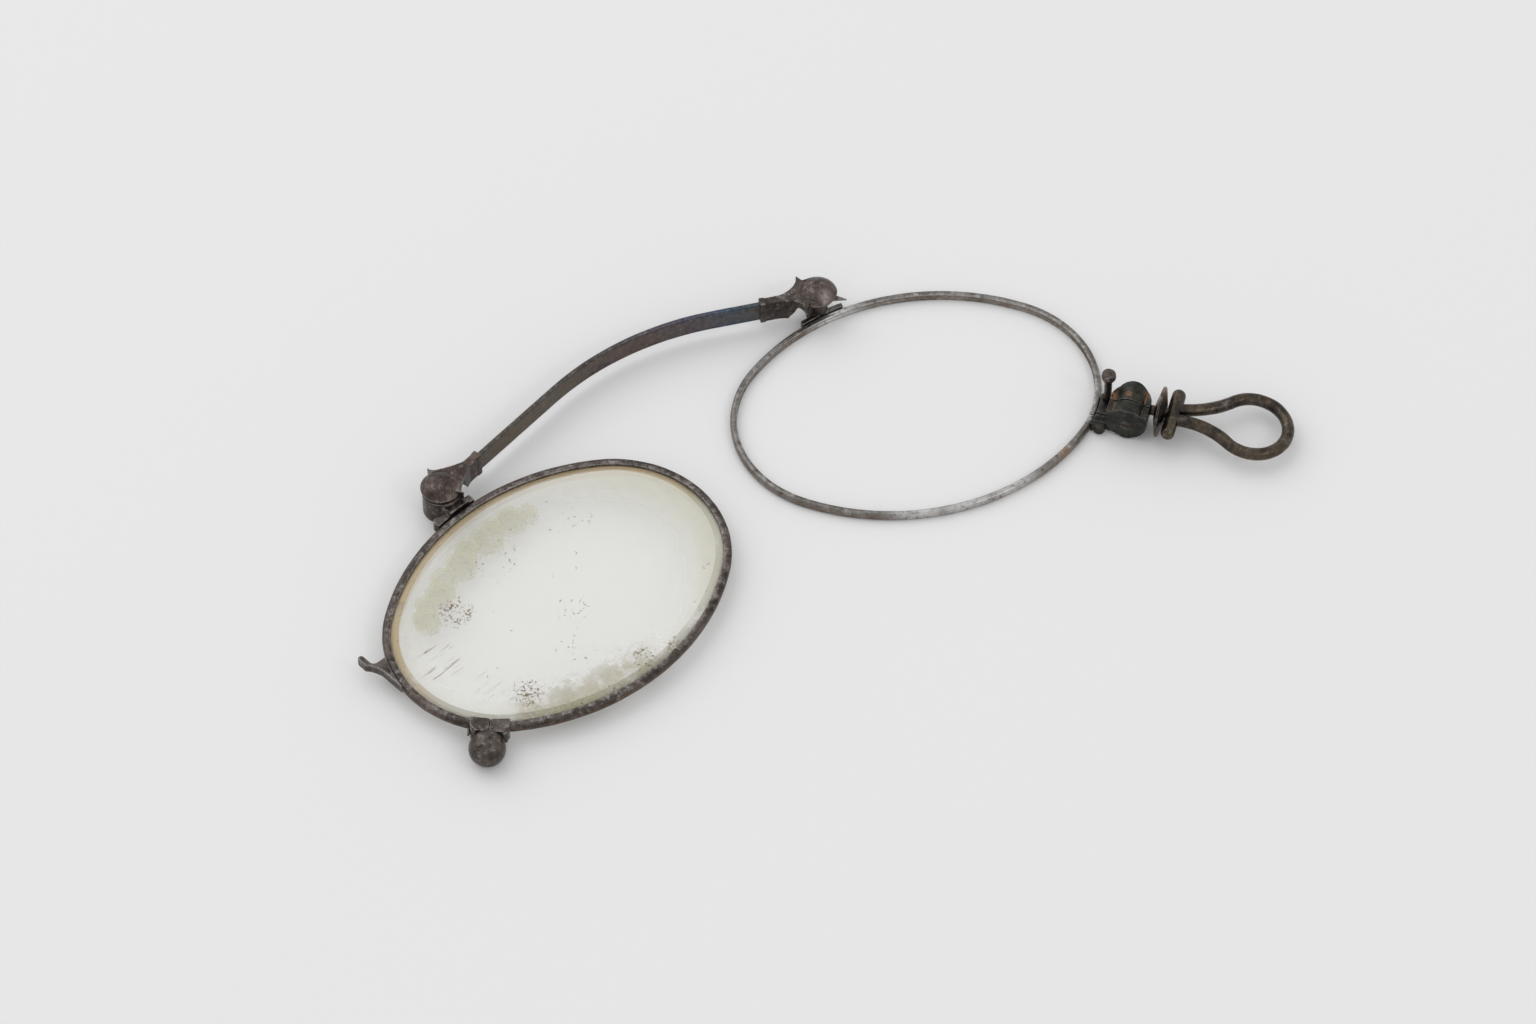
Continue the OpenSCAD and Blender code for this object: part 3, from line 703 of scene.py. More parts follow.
@dataclass(frozen=True)
class Finishes:
    """All the finishes of the object."""

    dark: SteelFinish = SteelFinish(
        "steel_dark_patina",
        patina=(0.050, 0.040, 0.035), bloom=(0.092, 0.075, 0.066),
        worn=(0.33, 0.31, 0.30), rust=(0.17, 0.085, 0.04),
        wear=0.45, rusting=0.3, rough=0.33, seed=1.0, speckle=0.5,
        # Painted highlight beside the right hinge
        highlit_and_rubbed=(Patch(0.3, 28.2, 1.5),),
    )
    brown: SteelFinish = SteelFinish(
        "steel_brown_patina",
        patina=(0.060, 0.044, 0.038), bloom=(0.105, 0.080, 0.070),
        worn=(0.30, 0.27, 0.255), rust=(0.19, 0.10, 0.05),
        wear=0.4, rusting=0.45, rough=0.32, seed=4.0, speckle=0.45,
        # Painted highlight on the right pin's dome
        highlit_and_rubbed=(Patch(-0.7, 28.3, 1.1),),
    )
    light: SteelFinish = SteelFinish(
        "steel_light_worn",
        patina=(0.135, 0.122, 0.108), bloom=(0.21, 0.20, 0.19),
        worn=(0.58, 0.575, 0.57), rust=(0.26, 0.13, 0.05),
        wear=0.35, rusting=0.2, rough=0.36, metal=0.9, seed=8.0, speckle=0.3,
        # Painted highlight and wear along the near side of the empty eye's wire, and painted
        # highlight beside the right hinge
        highlit_and_rubbed=(Patch(9.0, 1.9, 5.0), Patch(14.0, 2.4, 5.0), Patch(19.0, 4.6, 4.5),
                Patch(0.8, 27.8, 4.5)),
        stained=(Patch(24.6, 9.4, 1.6),),
    )
    rust: SteelFinish = SteelFinish(
        "steel_rusted_block",
        patina=(0.020, 0.020, 0.018), bloom=(0.040, 0.039, 0.032),
        worn=(0.15, 0.15, 0.14), rust=(0.26, 0.11, 0.035),
        wear=0.3, rusting=0.95, rough=0.36, seed=12.0, speckle=0.28,
        stained=(Patch(29.4, 14.7, 0.85), Patch(33.5, 14.7, 0.95), Patch(31.0, 14.5, 0.55),
                 Patch(28.3, 11.7, 0.6)),
    )
    temper: TemperFinish = TemperFinish(
        "steel_tempered_ribbon",
        patina=(0.09, 0.075, 0.06), bloom=(0.1, 0.1, 0.1),
        worn=(0.32, 0.31, 0.30), rust=(0.19, 0.12, 0.05),
        wear=0.16, rusting=0.25, rough=0.32, seed=16.0, speckle=0.3,
        stops=(
            (0.0, (0.055, 0.065, 0.068)), (0.16, (0.082, 0.068, 0.050)),
            (0.34, (0.070, 0.064, 0.056)), (0.5, (0.070, 0.058, 0.056)),
            (0.66, (0.076, 0.062, 0.074)), (0.78, (0.066, 0.068, 0.098)),
            (0.87, (0.040, 0.072, 0.115)), (0.95, (0.066, 0.076, 0.070)),
        ),
    )
    handled: SteelFinish = SteelFinish(
        "steel_handled_brown",
        patina=(0.038, 0.031, 0.028), bloom=(0.082, 0.064, 0.045),
        worn=(0.34, 0.32, 0.31), rust=(0.20, 0.095, 0.04),
        wear=0.4, rusting=0.4, rough=0.27, metal=0.92, seed=20.0, speckle=0.25,
        stained=(Patch(34.9, 14.4, 1.0),),
    )
    lens: LensFinish = LensFinish(
        "glass_long_used",
        glass=(0.99, 0.99, 0.985), tide=(0.60, 0.585, 0.44), smear=(0.50, 0.475, 0.38),
        bevel=(0.50, 0.40, 0.25), low_bevel=(0.36, 0.34, 0.24), speck=(0.17, 0.115, 0.05),
        dust=(0.95, 0.95, 0.90), half=(19.1, 14.0),
    )


# Where things are -----------------------------------------------------------------------


@dataclass(frozen=True)
class Oval:
    """Oval of four arcs, the form of both openings, in millimetres."""

    half_length: float
    half_width: float
    end_radius: float

    @property
    def side_radius(self) -> float:
        """Radius of the long sides."""
        a, b, r = self.half_length, self.half_width, self.end_radius
        return ((a - r) ** 2 + b * b - r * r) / (2 * (b - r))

    @property
    def end_half_angle(self) -> float:
        """Half angle of each end arc, in degrees."""
        gap = self.side_radius - self.half_width
        return math.degrees(math.atan2(gap, self.half_length - self.end_radius))

    def half_at(self, grow: float, x: float) -> float:
        """Half width of the grown oval at a place on its long axis."""
        rise = math.sqrt((self.side_radius + grow) ** 2 - x * x)
        return rise - (self.side_radius - self.half_width)

    def outline(self, grow: float, steps: int) -> np.ndarray:
        """Points round the grown oval, anticlockwise from the right-hand end.

        Args:
            grow: distance that the oval grows by.
            steps: number of points, evenly spread by length.

        Returns:
            An array of steps points.
        """
        half, s, r = self.end_half_angle, self.side_radius, self.end_radius
        fine: list[Point] = []
        arcs = (
            ((self.half_length - r, 0.0), r, 0.0, half),
            ((0.0, self.half_width - s), s, half, 180.0 - half),
            ((r - self.half_length, 0.0), r, 180.0 - half, 180.0 + half),
            ((0.0, s - self.half_width), s, 180.0 + half, 360.0 - half),
            ((self.half_length - r, 0.0), r, 360.0 - half, 360.0),
        )
        for centre, radius, start, end in arcs:
            fine += arc(centre, radius + grow, start, end, 160)[:-1]
        return resample(np.array(fine + fine[:1]), steps + 1)[:-1]


def arc(centre: Point, radius: float, start: float, end: float, steps: int) -> list[Point]:
    """Points on an arc between two angles in degrees."""
    angles = np.radians(np.linspace(start, end, steps + 1))
    return [(centre[0] + radius * math.cos(a), centre[1] + radius * math.sin(a)) for a in angles]


def resample(points: np.ndarray, count: int) -> np.ndarray:
    """Spreads points evenly along a line.

    Args:
        points: the line's points, one a row.
        count: how many points are wanted.

    Returns:
        An array of count points on the same line.
    """
    gaps = np.linalg.norm(np.diff(points, axis=0), axis=1)
    lengths = np.concatenate([[0.0], np.cumsum(gaps)])
    wanted = np.linspace(0.0, lengths[-1], count)
    return np.stack([np.interp(wanted, lengths, column) for column in points.T], axis=1)


def turned(degrees: float) -> Matrix:
    """A turn about the upright axis."""
    return Matrix.Rotation(math.radians(degrees), 4, "Z")


def shifted(x: float, y: float, z: float = 0.0) -> Matrix:
    """A shift."""
    return Matrix.Translation((x, y, z))


@dataclass(frozen=True)
class Layout:
    """Places of the parts, the same named sizes as the solids have, in millimetres."""

    mid: Point = (-21.18, 15.98)
    bridge_turn: float = 34.29
    hinge_span: float = 47.4
    left_slope: float = 15.5
    right_slope: float = 20.0
    left_turn: float = 43.8
    right_turn: float = 17.9
    left_oval: Oval = Oval(19.1, 14.0, 11.55)
    right_oval: Oval = Oval(19.3, 14.35, 11.55)
    left_wire: Point = (0.88, 1.0)
    right_wire: Point = (0.7, 0.95)
    left_lift: float = 1.4
    left_pin_along: float = -0.14
    left_pin_out: float = 2.85
    right_pin_along: float = -5.97
    right_pin_out: float = 1.18
    ball_angle: float = 221.2
    block: Point = (20.73, -8.93)
    handle_turn: float = -33.4
    handle_height: float = 2.76

    def bridge(self) -> Matrix:
        """Frame midway between the hinge pins."""
        return shifted(*self.mid) @ turned(self.bridge_turn)

    def left_pin(self) -> Matrix:
        """Frame of the left pin, along its neck."""
        return self.bridge() @ shifted(-self.hinge_span / 2, 0.0) @ turned(self.left_slope)

    def right_pin(self) -> Matrix:
        """Frame of the right pin, along its neck."""
        return self.bridge() @ shifted(self.hinge_span / 2, 0.0) @ turned(180.0 - self.right_slope)

    def left_eye(self) -> Matrix:
        """Frame of the left lens's centre.

        Returns:
            The frame.
        """
        side = self.left_oval.half_at(self.left_wire[0], self.left_pin_along) + self.left_pin_out
        at_pin = self.bridge() @ shifted(-self.hinge_span / 2, 0.0)
        upright = at_pin @ turned(self.left_turn - self.bridge_turn)
        return upright @ shifted(-self.left_pin_along, -side)

    def right_eye(self) -> Matrix:
        """Frame of the right opening's centre.

        Returns:
            The frame.
        """
        oval, along = self.right_oval, self.right_pin_along
        side = oval.half_at(self.right_wire[0], along) + self.right_pin_out
        at_pin = self.bridge() @ shifted(self.hinge_span / 2, 0.0)
        upright = at_pin @ turned(self.right_turn - self.bridge_turn)
        return upright @ shifted(-along, -side)

    def handle(self) -> Matrix:
        """Frame of the handle block, its first axis out along the handle."""
        return self.right_eye() @ shifted(*self.block) @ turned(self.handle_turn)


# Making meshes --------------------------------------------------------------------------


# Points nearer than these are one, in millimetres: in a finished piece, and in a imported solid
WELD = 0.0005
SOLID_WELD = 0.002
# Share of its neighbours' place that a point takes in one round of averaging
EASE = 0.6
# Most and least that the wear attribute holds
WEAR_LIMIT = 1.5


def mesh_object(name: str, points: Iterable[Sequence[float]], edges: list[Any],
                faces: list[Any]) -> bpy.types.Object:
    """A new object in the scene.

    Args:
        name: its name.
        points: its points.
        edges: pairs of points, where it has no faces.
        faces: its faces, as places in the points.

    Returns:
        The object.
    """
    mesh = bpy.data.meshes.new(name)
    mesh.from_pydata([tuple(p) for p in points], edges, faces)
    made = bpy.data.objects.new(name, mesh)
    bpy.context.scene.collection.objects.link(made)
    return made


class SkinTree:
    """Geometry Nodes tree that sweeps a section along a path, or takes a solid as it is, and
    gives its surface the unevenness of hand work."""

    def __init__(self, name: str, sweep: bool) -> None:
        """Builds the tree.

        Args:
            name: the tree's name.
            sweep: whether it starts with a path.
        """
        self.tree = bpy.data.node_groups.new(name, "GeometryNodeTree")
        self.ids: dict[str, str] = {}
        self._input("Geometry", "NodeSocketGeometry")
        for label in ("Hammer depth", "Hammer scale", "Pit depth", "Pit scale", "Swell", "Seed"):
            self._input(label, "NodeSocketFloat")
        self._input("Material", "NodeSocketMaterial")
        if sweep:
            self._input("Section", "NodeSocketObject")
        self.tree.interface.new_socket(
            "Geometry", in_out="OUTPUT", socket_type="NodeSocketGeometry"
        )
        self._wire(sweep)

    def _input(self, label: str, kind: str) -> None:
        """Adds a named input."""
        item = self.tree.interface.new_socket(label, in_out="INPUT", socket_type=kind)
        self.ids[label] = item.identifier

    def _node(self, kind: str, settings: dict[str, Any], values: dict[Any, Any]) -> bpy.types.Node:
        """Adds a node.

        Args:
            kind: the node's type.
            settings: properties, which are set first.
            values: numbers or links for its inputs, by name or by place.

        Returns:
            The new node.
        """
        made = self.tree.nodes.new(kind)
        for key, value in settings.items():
            setattr(made, key, value)
        for key, value in values.items():
            if isinstance(value, bpy.types.NodeSocket):
                self.tree.links.new(value, made.inputs[key])
            else:
                made.inputs[key].default_value = value
        return made

    def _math(self, operation: str, a: Any, b: Any) -> bpy.types.NodeSocket:
        """A Math node on two numbers or links."""
        return self._node("ShaderNodeMath", {"operation": operation}, {0: a, 1: b}).outputs[0]

    def _wire(self, sweep: bool) -> None:
        """Joins the nodes of the tree.

        Args:
            sweep: whether it starts with a path.
        """
        start = self.tree.nodes.new("NodeGroupInput").outputs
        shape = start["Geometry"]
        if sweep:
            path = self._node("GeometryNodeMeshToCurve", {}, {0: shape})
            upright = self._node(
                "GeometryNodeSetCurveNormal", {"mode": "Z_UP"}, {0: path.outputs[0]}
            )
            section = self._node("GeometryNodeObjectInfo", {}, {0: start["Section"]})
            profile = self._node("GeometryNodeMeshToCurve", {}, {0: section.outputs["Geometry"]})
            swept = self._node(
                "GeometryNodeCurveToMesh",
                {},
                {
                    "Curve": upright.outputs[0],
                    "Profile Curve": profile.outputs[0],
                    "Fill Caps": True,
                },
            )
            shape = swept.outputs[0]
        place = self.tree.nodes.new("GeometryNodeInputPosition").outputs[0]
        normal = self.tree.nodes.new("GeometryNodeInputNormal").outputs[0]
        total = start["Swell"]
        for depth, scale, detail in (
            ("Hammer depth", "Hammer scale", 1.5),
            ("Pit depth", "Pit scale", 3.0),
        ):
            noise = self._node(
                "ShaderNodeTexNoise",
                {"noise_dimensions": "4D"},
                {"Vector": place, "W": start["Seed"], "Scale": start[scale], "Detail": detail},
            )
            centred = self._math("SUBTRACT", noise.outputs[0], 0.5)
            total = self._math("ADD", total, self._math("MULTIPLY", centred, start[depth]))
        offset = self._node(
            "ShaderNodeVectorMath", {"operation": "SCALE"}, {0: normal, "Scale": total}
        )
        uneven = self._node(
            "GeometryNodeSetPosition", {}, {"Geometry": shape, "Offset": offset.outputs[0]}
        )
        smooth = self._node("GeometryNodeSetShadeSmooth", {}, {"Geometry": uneven.outputs[0]})
        real = self._node("GeometryNodeRealizeInstances", {}, {"Geometry": smooth.outputs[0]})
        dressed = self._node(
            "GeometryNodeSetMaterial",
            {},
            {"Geometry": real.outputs[0], "Material": start["Material"]},
        )
        end = self.tree.nodes.new("NodeGroupOutput")
        self.tree.links.new(dressed.outputs[0], end.inputs[0])


@dataclass(frozen=True)
class Touch:
    """How uneven a surface is, in millimetres and turns a millimetre."""

    hammer: float = 0.05
    hammer_scale: float = 0.5
    pit: float = 0.02
    pit_scale: float = 2.2
    seed: float = 1.0
    swell: float = 0.0


@dataclass(frozen=True)
class Forging:
    """A solid that is dressed as a forged piece: its finish, its surface and its softness.

    The grain is the size of its faces in millimetres, and the rounds say how far its edges are
    rounded.
    """

    node: str
    look: Look
    touch: Touch
    grain: float = 0.06
    rounds: int = 3


@dataclass(frozen=True)
class Wear:
    """Worn edges: how wide they are, in rounds of averaging, and how far one stands out where it
    is fully worn, in millimetres."""

    rounds: int = 14
    depth: float = 0.045


class Workshop:
    """Makes the pieces, and hands pieces over to their bodies and solids."""

    def __init__(self, frame: dict[str, Any], layout: Layout) -> None:
        """Builds the finishes and the shared trees.

        Args:
            frame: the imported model.
            layout: places of the parts.
        """
        self.nodes = frame["nodes"]
        self.layout = layout
        self.finishes = Finishes()
        self.steel = {
            Look.DARK: self.finishes.dark.build(),
            Look.BROWN: self.finishes.brown.build(),
            Look.LIGHT: self.finishes.light.build(),
            Look.RUST: self.finishes.rust.build(),
            Look.TEMPER: self.finishes.temper.build(),
            Look.HANDLED: self.finishes.handled.build(),
        }
        self.sweep_tree = SkinTree("swept_wire", True)
        self.skin_tree = SkinTree("worn_skin", False)

    def _skin(self, source: bpy.types.Object, name: str, tree: SkinTree, look: Look, touch: Touch,
              section: bpy.types.Object | None = None) -> bpy.types.Object:
        """Runs a tree on an object and keeps the result as a plain mesh.

        Args:
            source: the path or the solid's copy, which is used up.
            name: the piece's name.
            tree: the tree.
            look: the finish.
            touch: the surface's unevenness.
            section: the outline that is swept, which is used up.

        Returns:
            The new piece.
        """
        modifier = source.modifiers.new("skin", "NODES")
        modifier.node_group = tree.tree
        modifier[tree.ids["Hammer depth"]] = touch.hammer
        modifier[tree.ids["Hammer scale"]] = touch.hammer_scale
        modifier[tree.ids["Pit depth"]] = touch.pit
        modifier[tree.ids["Pit scale"]] = touch.pit_scale
        modifier[tree.ids["Swell"]] = touch.swell
        modifier[tree.ids["Seed"]] = touch.seed
        modifier[tree.ids["Material"]] = self.steel[look]
        if section is not None:
            modifier[tree.ids["Section"]] = section
        graph = bpy.context.evaluated_depsgraph_get()
        mesh = bpy.data.meshes.new_from_object(source.evaluated_get(graph))
        bpy.data.objects.remove(source)
        if section is not None:
            bpy.data.objects.remove(section)
        turn_outwards(mesh)
        made = bpy.data.objects.new(name, mesh)
        bpy.context.scene.collection.objects.link(made)
        return made

    def sweep(self, name: str, path: np.ndarray, section: Sequence[Point], look: Look,
              touch: Touch) -> bpy.types.Object:
        """Sweeps a section along an open path.

        Args:
            name: the piece's name.
            path: points in space, in millimetres.
            section: closed outline, its first axis to the right of the path, its second up.
            look: the finish.
            touch: the surface's unevenness.

        Returns:
            The new piece, in millimetres.
        """
        links = [(i, i + 1) for i in range(len(path) - 1)]
        line = mesh_object(name + "_path", path, links, [])
        outline = [(u, -v, 0.0) for u, v in section]
        sides = [(i, (i + 1) % len(outline)) for i in range(len(outline))]
        ring = mesh_object(name + "_section", outline, sides, [])
        return self._skin(line, name, self.sweep_tree, look, touch, ring)

    def forge(self, forging: Forging) -> bpy.types.Object:
        """A softened copy of a solid.

        Args:
            forging: the solid and how it is dressed.

        Returns:
            The new piece, in millimetres.
        """
        shape = bmesh.new()
        shape.from_mesh(self.nodes[forging.node].data)
        bmesh.ops.scale(shape, vec=(1 / MM,) * 3, verts=shape.verts)
        bmesh.ops.remove_doubles(shape, verts=shape.verts, dist=SOLID_WELD)
        mesh = bpy.data.meshes.new(forging.node + "_copy")
        shape.to_mesh(mesh)
        shape.free()
        copy = bpy.data.objects.new(forging.node + "_copy", mesh)
        bpy.context.scene.collection.objects.link(copy)
        remesh = copy.modifiers.new("even", "REMESH")
        remesh.mode = "VOXEL"
        remesh.voxel_size = forging.grain
        remesh.use_smooth_shade = True
        soften = copy.modifiers.new("soften", "SMOOTH")
        soften.factor = 0.5
        soften.iterations = forging.rounds
        name = forging.node + "_piece"
        return self._skin(copy, name, self.skin_tree, forging.look, forging.touch)

    def hand_over(self, piece: bpy.types.Object, body: Body, node: str,
                  wear: Wear) -> None:
        """Scales a finished piece to metres and gives it to its body.

        Args:
            piece: the piece in millimetres.
            body: the body that it rides on.
            node: the solid that it stands for.
            wear: its worn edges.
        """
        write_wear(piece.data, wear)
        piece.data.transform(Matrix.Scale(MM, 4))
        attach(piece, body.value)
        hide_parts(node)
        LOG.info("%s: %d faces, on %s", piece.name, len(piece.data.polygons), body.value)

    def forge_all(self, forgings: Iterable[Forging], body: Body, wear: Wear) -> None:
        """Forges some pieces of one body and hands them over.

        Args:
            forgings: the solids and how they are dressed.
            body: the body that they ride on.
            wear: their worn edges.
        """
        for forging in forgings:
            self.hand_over(self.forge(forging), body, forging.node, wear)


def turn_outwards(mesh: bpy.types.Mesh) -> None:
    """Merges a mesh's doubles and makes all its faces point outwards.

    Args:
        mesh: the mesh, in millimetres.
    """
    shape = bmesh.new()
    shape.from_mesh(mesh)
    bmesh.ops.remove_doubles(shape, verts=shape.verts, dist=WELD)
    bmesh.ops.recalc_face_normals(shape, faces=shape.faces)
    shape.to_mesh(mesh)
    shape.free()


def values_of(items: Any, key: str, kind: type, width: int) -> np.ndarray:
    """Reads one property of a mesh's points or edges.

    Args:
        items: the points, edges or normals.
        key: the property.
        kind: type of its numbers.
        width: how many numbers each item has.

    Returns:
        One row of numbers an item.
    """
    values = np.empty(len(items) * width, kind)
    items.foreach_get(key, values)
    return values.reshape(-1, width)


def write_layer(mesh: bpy.types.Mesh, name: str, values: np.ndarray) -> None:
    """Writes a float attribute with one value a point."""
    layer = mesh.attributes.new(name, "FLOAT", "POINT")
    layer.data.foreach_set("value", values.astype(np.float32))


def edge_wear(mesh: bpy.types.Mesh, wear: Wear) -> np.ndarray:
    """How far each point stands out from the surface round it.

    Args:
        mesh: the mesh, in millimetres.
        wear: how often points are averaged with their neighbours, and the distance that counts
            as 1.

    Returns:
        Values above 0 on edges and below 0 in corners.
    """
    count = len(mesh.vertices)
    place = values_of(mesh.vertices, "co", float, 3)
    normal = values_of(mesh.vertex_normals, "vector", np.float32, 3)
    first, second = values_of(mesh.edges, "vertices", np.int32, 2).T
    ends, others = np.concatenate([first, second]), np.concatenate([second, first])
    share = 1.0 / np.maximum(np.bincount(ends, minlength=count), 1)
    soft = place.copy()
    for _ in range(wear.rounds):
        mean = np.stack([np.bincount(ends, soft[others, i], count) for i in range(3)], axis=1)
        soft = (1.0 - EASE) * soft + EASE * mean * share[:, None]
    out = ((place - soft) * normal).sum(1) / wear.depth
    out -= np.median(out)
    return np.clip(out, -WEAR_LIMIT, WEAR_LIMIT)


def write_wear(mesh: bpy.types.Mesh, wear: Wear) -> None:
    """Writes the worn edges that the steel finishes read."""
    write_layer(mesh, "wear", edge_wear(mesh, wear))


def rounded_box(width: float, low: float, high: float, corner: float,
                spacing: float = 0.2) -> list[Point]:
    """Outline of a bar's section with rounded corners.

    Args:
        width: the bar's width.
        low: height of its underside.
        high: height of its top.
        corner: radius of its corners.
        spacing: longest gap between points on its sides.

    Returns:
        The outline's points, anticlockwise.
    """
    x, made = width / 2 - corner, []
    for cx, cy, start in ((x, low + corner, -90.0), (x, high - corner, 0.0),
                          (-x, high - corner, 90.0), (-x, low + corner, 180.0)):
        made += arc((cx, cy), corner, start, start + 90.0, 4)
    sides: list[Point] = []
    for here, after in zip(made, made[1:] + made[:1]):
        run = (after[0] - here[0], after[1] - here[1])
        steps = max(1, round(math.hypot(*run) / spacing))
        sides += [(here[0] + run[0] * i / steps, here[1] + run[1] * i / steps)
                  for i in range(steps)]
    return sides


# Sub-assemblies -------------------------------------------------------------------------


@dataclass(frozen=True)
class Ribbon:
    """The sprung bridge: one steel ribbon, made as two halves.

    The held steps are those inside a collar, and the plain length is what stays unworn on
    each side of the middle, so that the halves match where they meet.
    """

    bow_radius: float = 32.0
    thick: float = 0.43
    lift: float = 1.05
    height: float = 2.55
    grip: float = 2.6
    left_collar: float = 5.8
    right_collar: float = 6.3
    corner: float = 0.13
    steps: int = 400
    held_steps: int = 22
    plain: float = 1.7
    fade: float = 0.6
    touch: Touch = Touch(0.04, 0.35, 0.015, 2.0, 3.0)
    wear: Wear = Wear(10, 0.03)

    def path(self, layout: Layout) -> np.ndarray:
        """Middle line of the whole ribbon, from inside one collar to inside the other.

        Args:
            layout: places of the parts.

        Returns:
            The line's points in millimetres.
        """
        left, right = math.radians(layout.left_slope), math.radians(layout.right_slope)
        turn, radius = layout.left_slope + layout.right_slope, self.bow_radius
        across = layout.hinge_span - radius * (math.sin(left) + math.sin(right))
        rise = radius * (math.cos(left) - math.cos(right))
        left_run = (across * math.sin(right) + rise * math.cos(right)) / math.sin(left + right)
        bow = arc((left_run, -radius), radius, 90.0, 90.0 - turn, 80)
        near = layout.left_pin()
        points = [near @ Vector((self.left_collar - self.grip, 0.0, 0.0))]
        points += [near @ Vector((x, y, 0.0)) for x, y in bow]
        points.append(layout.right_pin() @ Vector((self.right_collar - self.grip, 0.0, 0.0)))
        return resample(np.array([tuple(p) for p in points]), self.steps + 1)

    def make(self, shop: Workshop) -> None:
        """Builds both halves.

        Args:
            shop: the workshop.
        """
        line = self.path(shop.layout)
        section = rounded_box(self.thick, self.lift, self.lift + self.height, self.corner)
        half = self.steps // 2
        self.make_half(shop, "ribbon_left", Body.BRIDGE_LEFT, line, line[: half + 1],
                       section)
        self.make_half(shop, "ribbon_right", Body.BRIDGE_RIGHT, line, line[half:],
                       section)

    def make_half(self, shop: Workshop, name: str, body: Body, line: np.ndarray,
                  part: np.ndarray, section: list[Point]) -> None:
        """Builds one half, from the middle of the ribbon to its collar.

        Args:
            shop: the workshop.
            name: the piece's name.
            body: the body at its collar.
            line: middle line of the whole ribbon.
            part: middle line of this half.
            section: the ribbon's section.
        """
        middle, run = line[self.steps // 2], line[-1] - line[0]
        piece = shop.sweep(name, part, section, Look.TEMPER, self.touch)
        place = values_of(piece.data.vertices, "co", float, 3)
        away = (np.linalg.norm(place - middle, axis=1) - self.plain) / self.fade
        write_layer(piece.data, "wear", edge_wear(piece.data, self.wear) * np.clip(away, 0.0, 1.0))
        write_layer(piece.data, "along", (place - line[0]) @ run / (run @ run))
        piece.data.transform(Matrix.Scale(MM, 4))
        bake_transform(piece)
        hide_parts("bridge_spring")
        LOG.info("%s: %d faces, bends to %s", name, len(piece.data.polygons), body.value)


@dataclass(frozen=True)
class Ferrule:
    """Collar and horned plate at one end of the ribbon, with the domed pin through it."""

    side: str
    body: Body
    look: Look
    seed: float
    plate_wear: Wear = Wear(16, 0.1)
    pin_wear: Wear = Wear(16, 0.05)

    def make(self, shop: Workshop) -> None:
        """Builds the ferrule and its pin.

        Args:
            shop: the workshop.
        """
        plate = Touch(0.05, 0.7, 0.04, 2.6, self.seed)
        dome = Touch(0.10, 0.55, 0.03, 2.4, self.seed + 2, 0.06)
        ferrule = Forging(f"{self.side}_ferrule", self.look, plate, 0.06, 2)
        pin = Forging(f"{self.side}_hinge_pin", Look.BROWN, dome, 0.06, 3)
        shop.forge_all((ferrule,), self.body, self.plate_wear)
        shop.forge_all((pin,), self.body, self.pin_wear)


@dataclass(frozen=True)
class Eyewire:
    """A grooved wire round one opening, cut through where its closing block is.

    The lip is the rounded inner corner, as steps outwards and down from the top, and the
    fullness says how square the rounded back is: 1 is an ellipse and 0 a square.
    """

    groove: Point = (0.26, 0.56)
    lip: tuple[Point, ...] = ((0.0, 0.13), (0.04, 0.05), (0.12, 0.01))
    back_steps: int = 12
    fullness: float = 0.8
    steps: int = 520
    cut: float = 0.1
    fine_steps: int = 2400

    def section(self, width: float, height: float) -> list[Point]:
        """Section with the groove inside and a rounded back.

        Args:
            width: the wire's width.
            height: the wire's height.

        Returns:
            The section's points.
        """
        deep, wide = self.groove
        half, core = height / 2, width * 0.5
        made = [(0.0, -wide / 2), (deep * 0.6, -wide * 0.2), (deep, 0.0),
                (deep * 0.6, wide * 0.2), (0.0, wide / 2)]
        made += [(out, half - down) for out, down in self.lip]
        for step in range(1, self.back_steps):
            angle = math.radians(90.0 - 180.0 / self.back_steps * step)
            out = abs(math.cos(angle)) ** self.fullness
            up = math.copysign(abs(math.sin(angle)) ** self.fullness, math.sin(angle))
            made.append((core + (width - core) * out, half * up))
        made += [(out, down - half) for out, down in reversed(self.lip)]
        return made

    def path(self, oval: Oval, place: Matrix, height: float, cut_at: float) -> np.ndarray:
        """Open path round the opening, from one side of the cut to the other.

        Args:
            oval: the opening.
            place: frame of the eye.
            height: height of the wire's middle.
            cut_at: place of the cut, as a share of the way round.

        Returns:
            The path's points in millimetres.
        """
        fine = oval.outline(0.0, self.fine_steps)
        fine = np.roll(fine, -round(cut_at * len(fine)), axis=0)
        length = np.linalg.norm(np.diff(fine, axis=0), axis=1).sum()
        trim = max(1, round(self.cut / 2 / (length / len(fine))))
        flat = resample(fine[trim : len(fine) - trim], self.steps)
        return np.array([tuple(place @ Vector((x, y, height))) for x, y in flat])

    def share_of(self, oval: Oval, wanted: Callable[[float, float], float]) -> float:
        """Share of the way round at which a measure of a point is least."""
        fine = oval.outline(0.0, self.fine_steps)
        return float(np.argmin([wanted(x, y) for x, y in fine])) / len(fine)


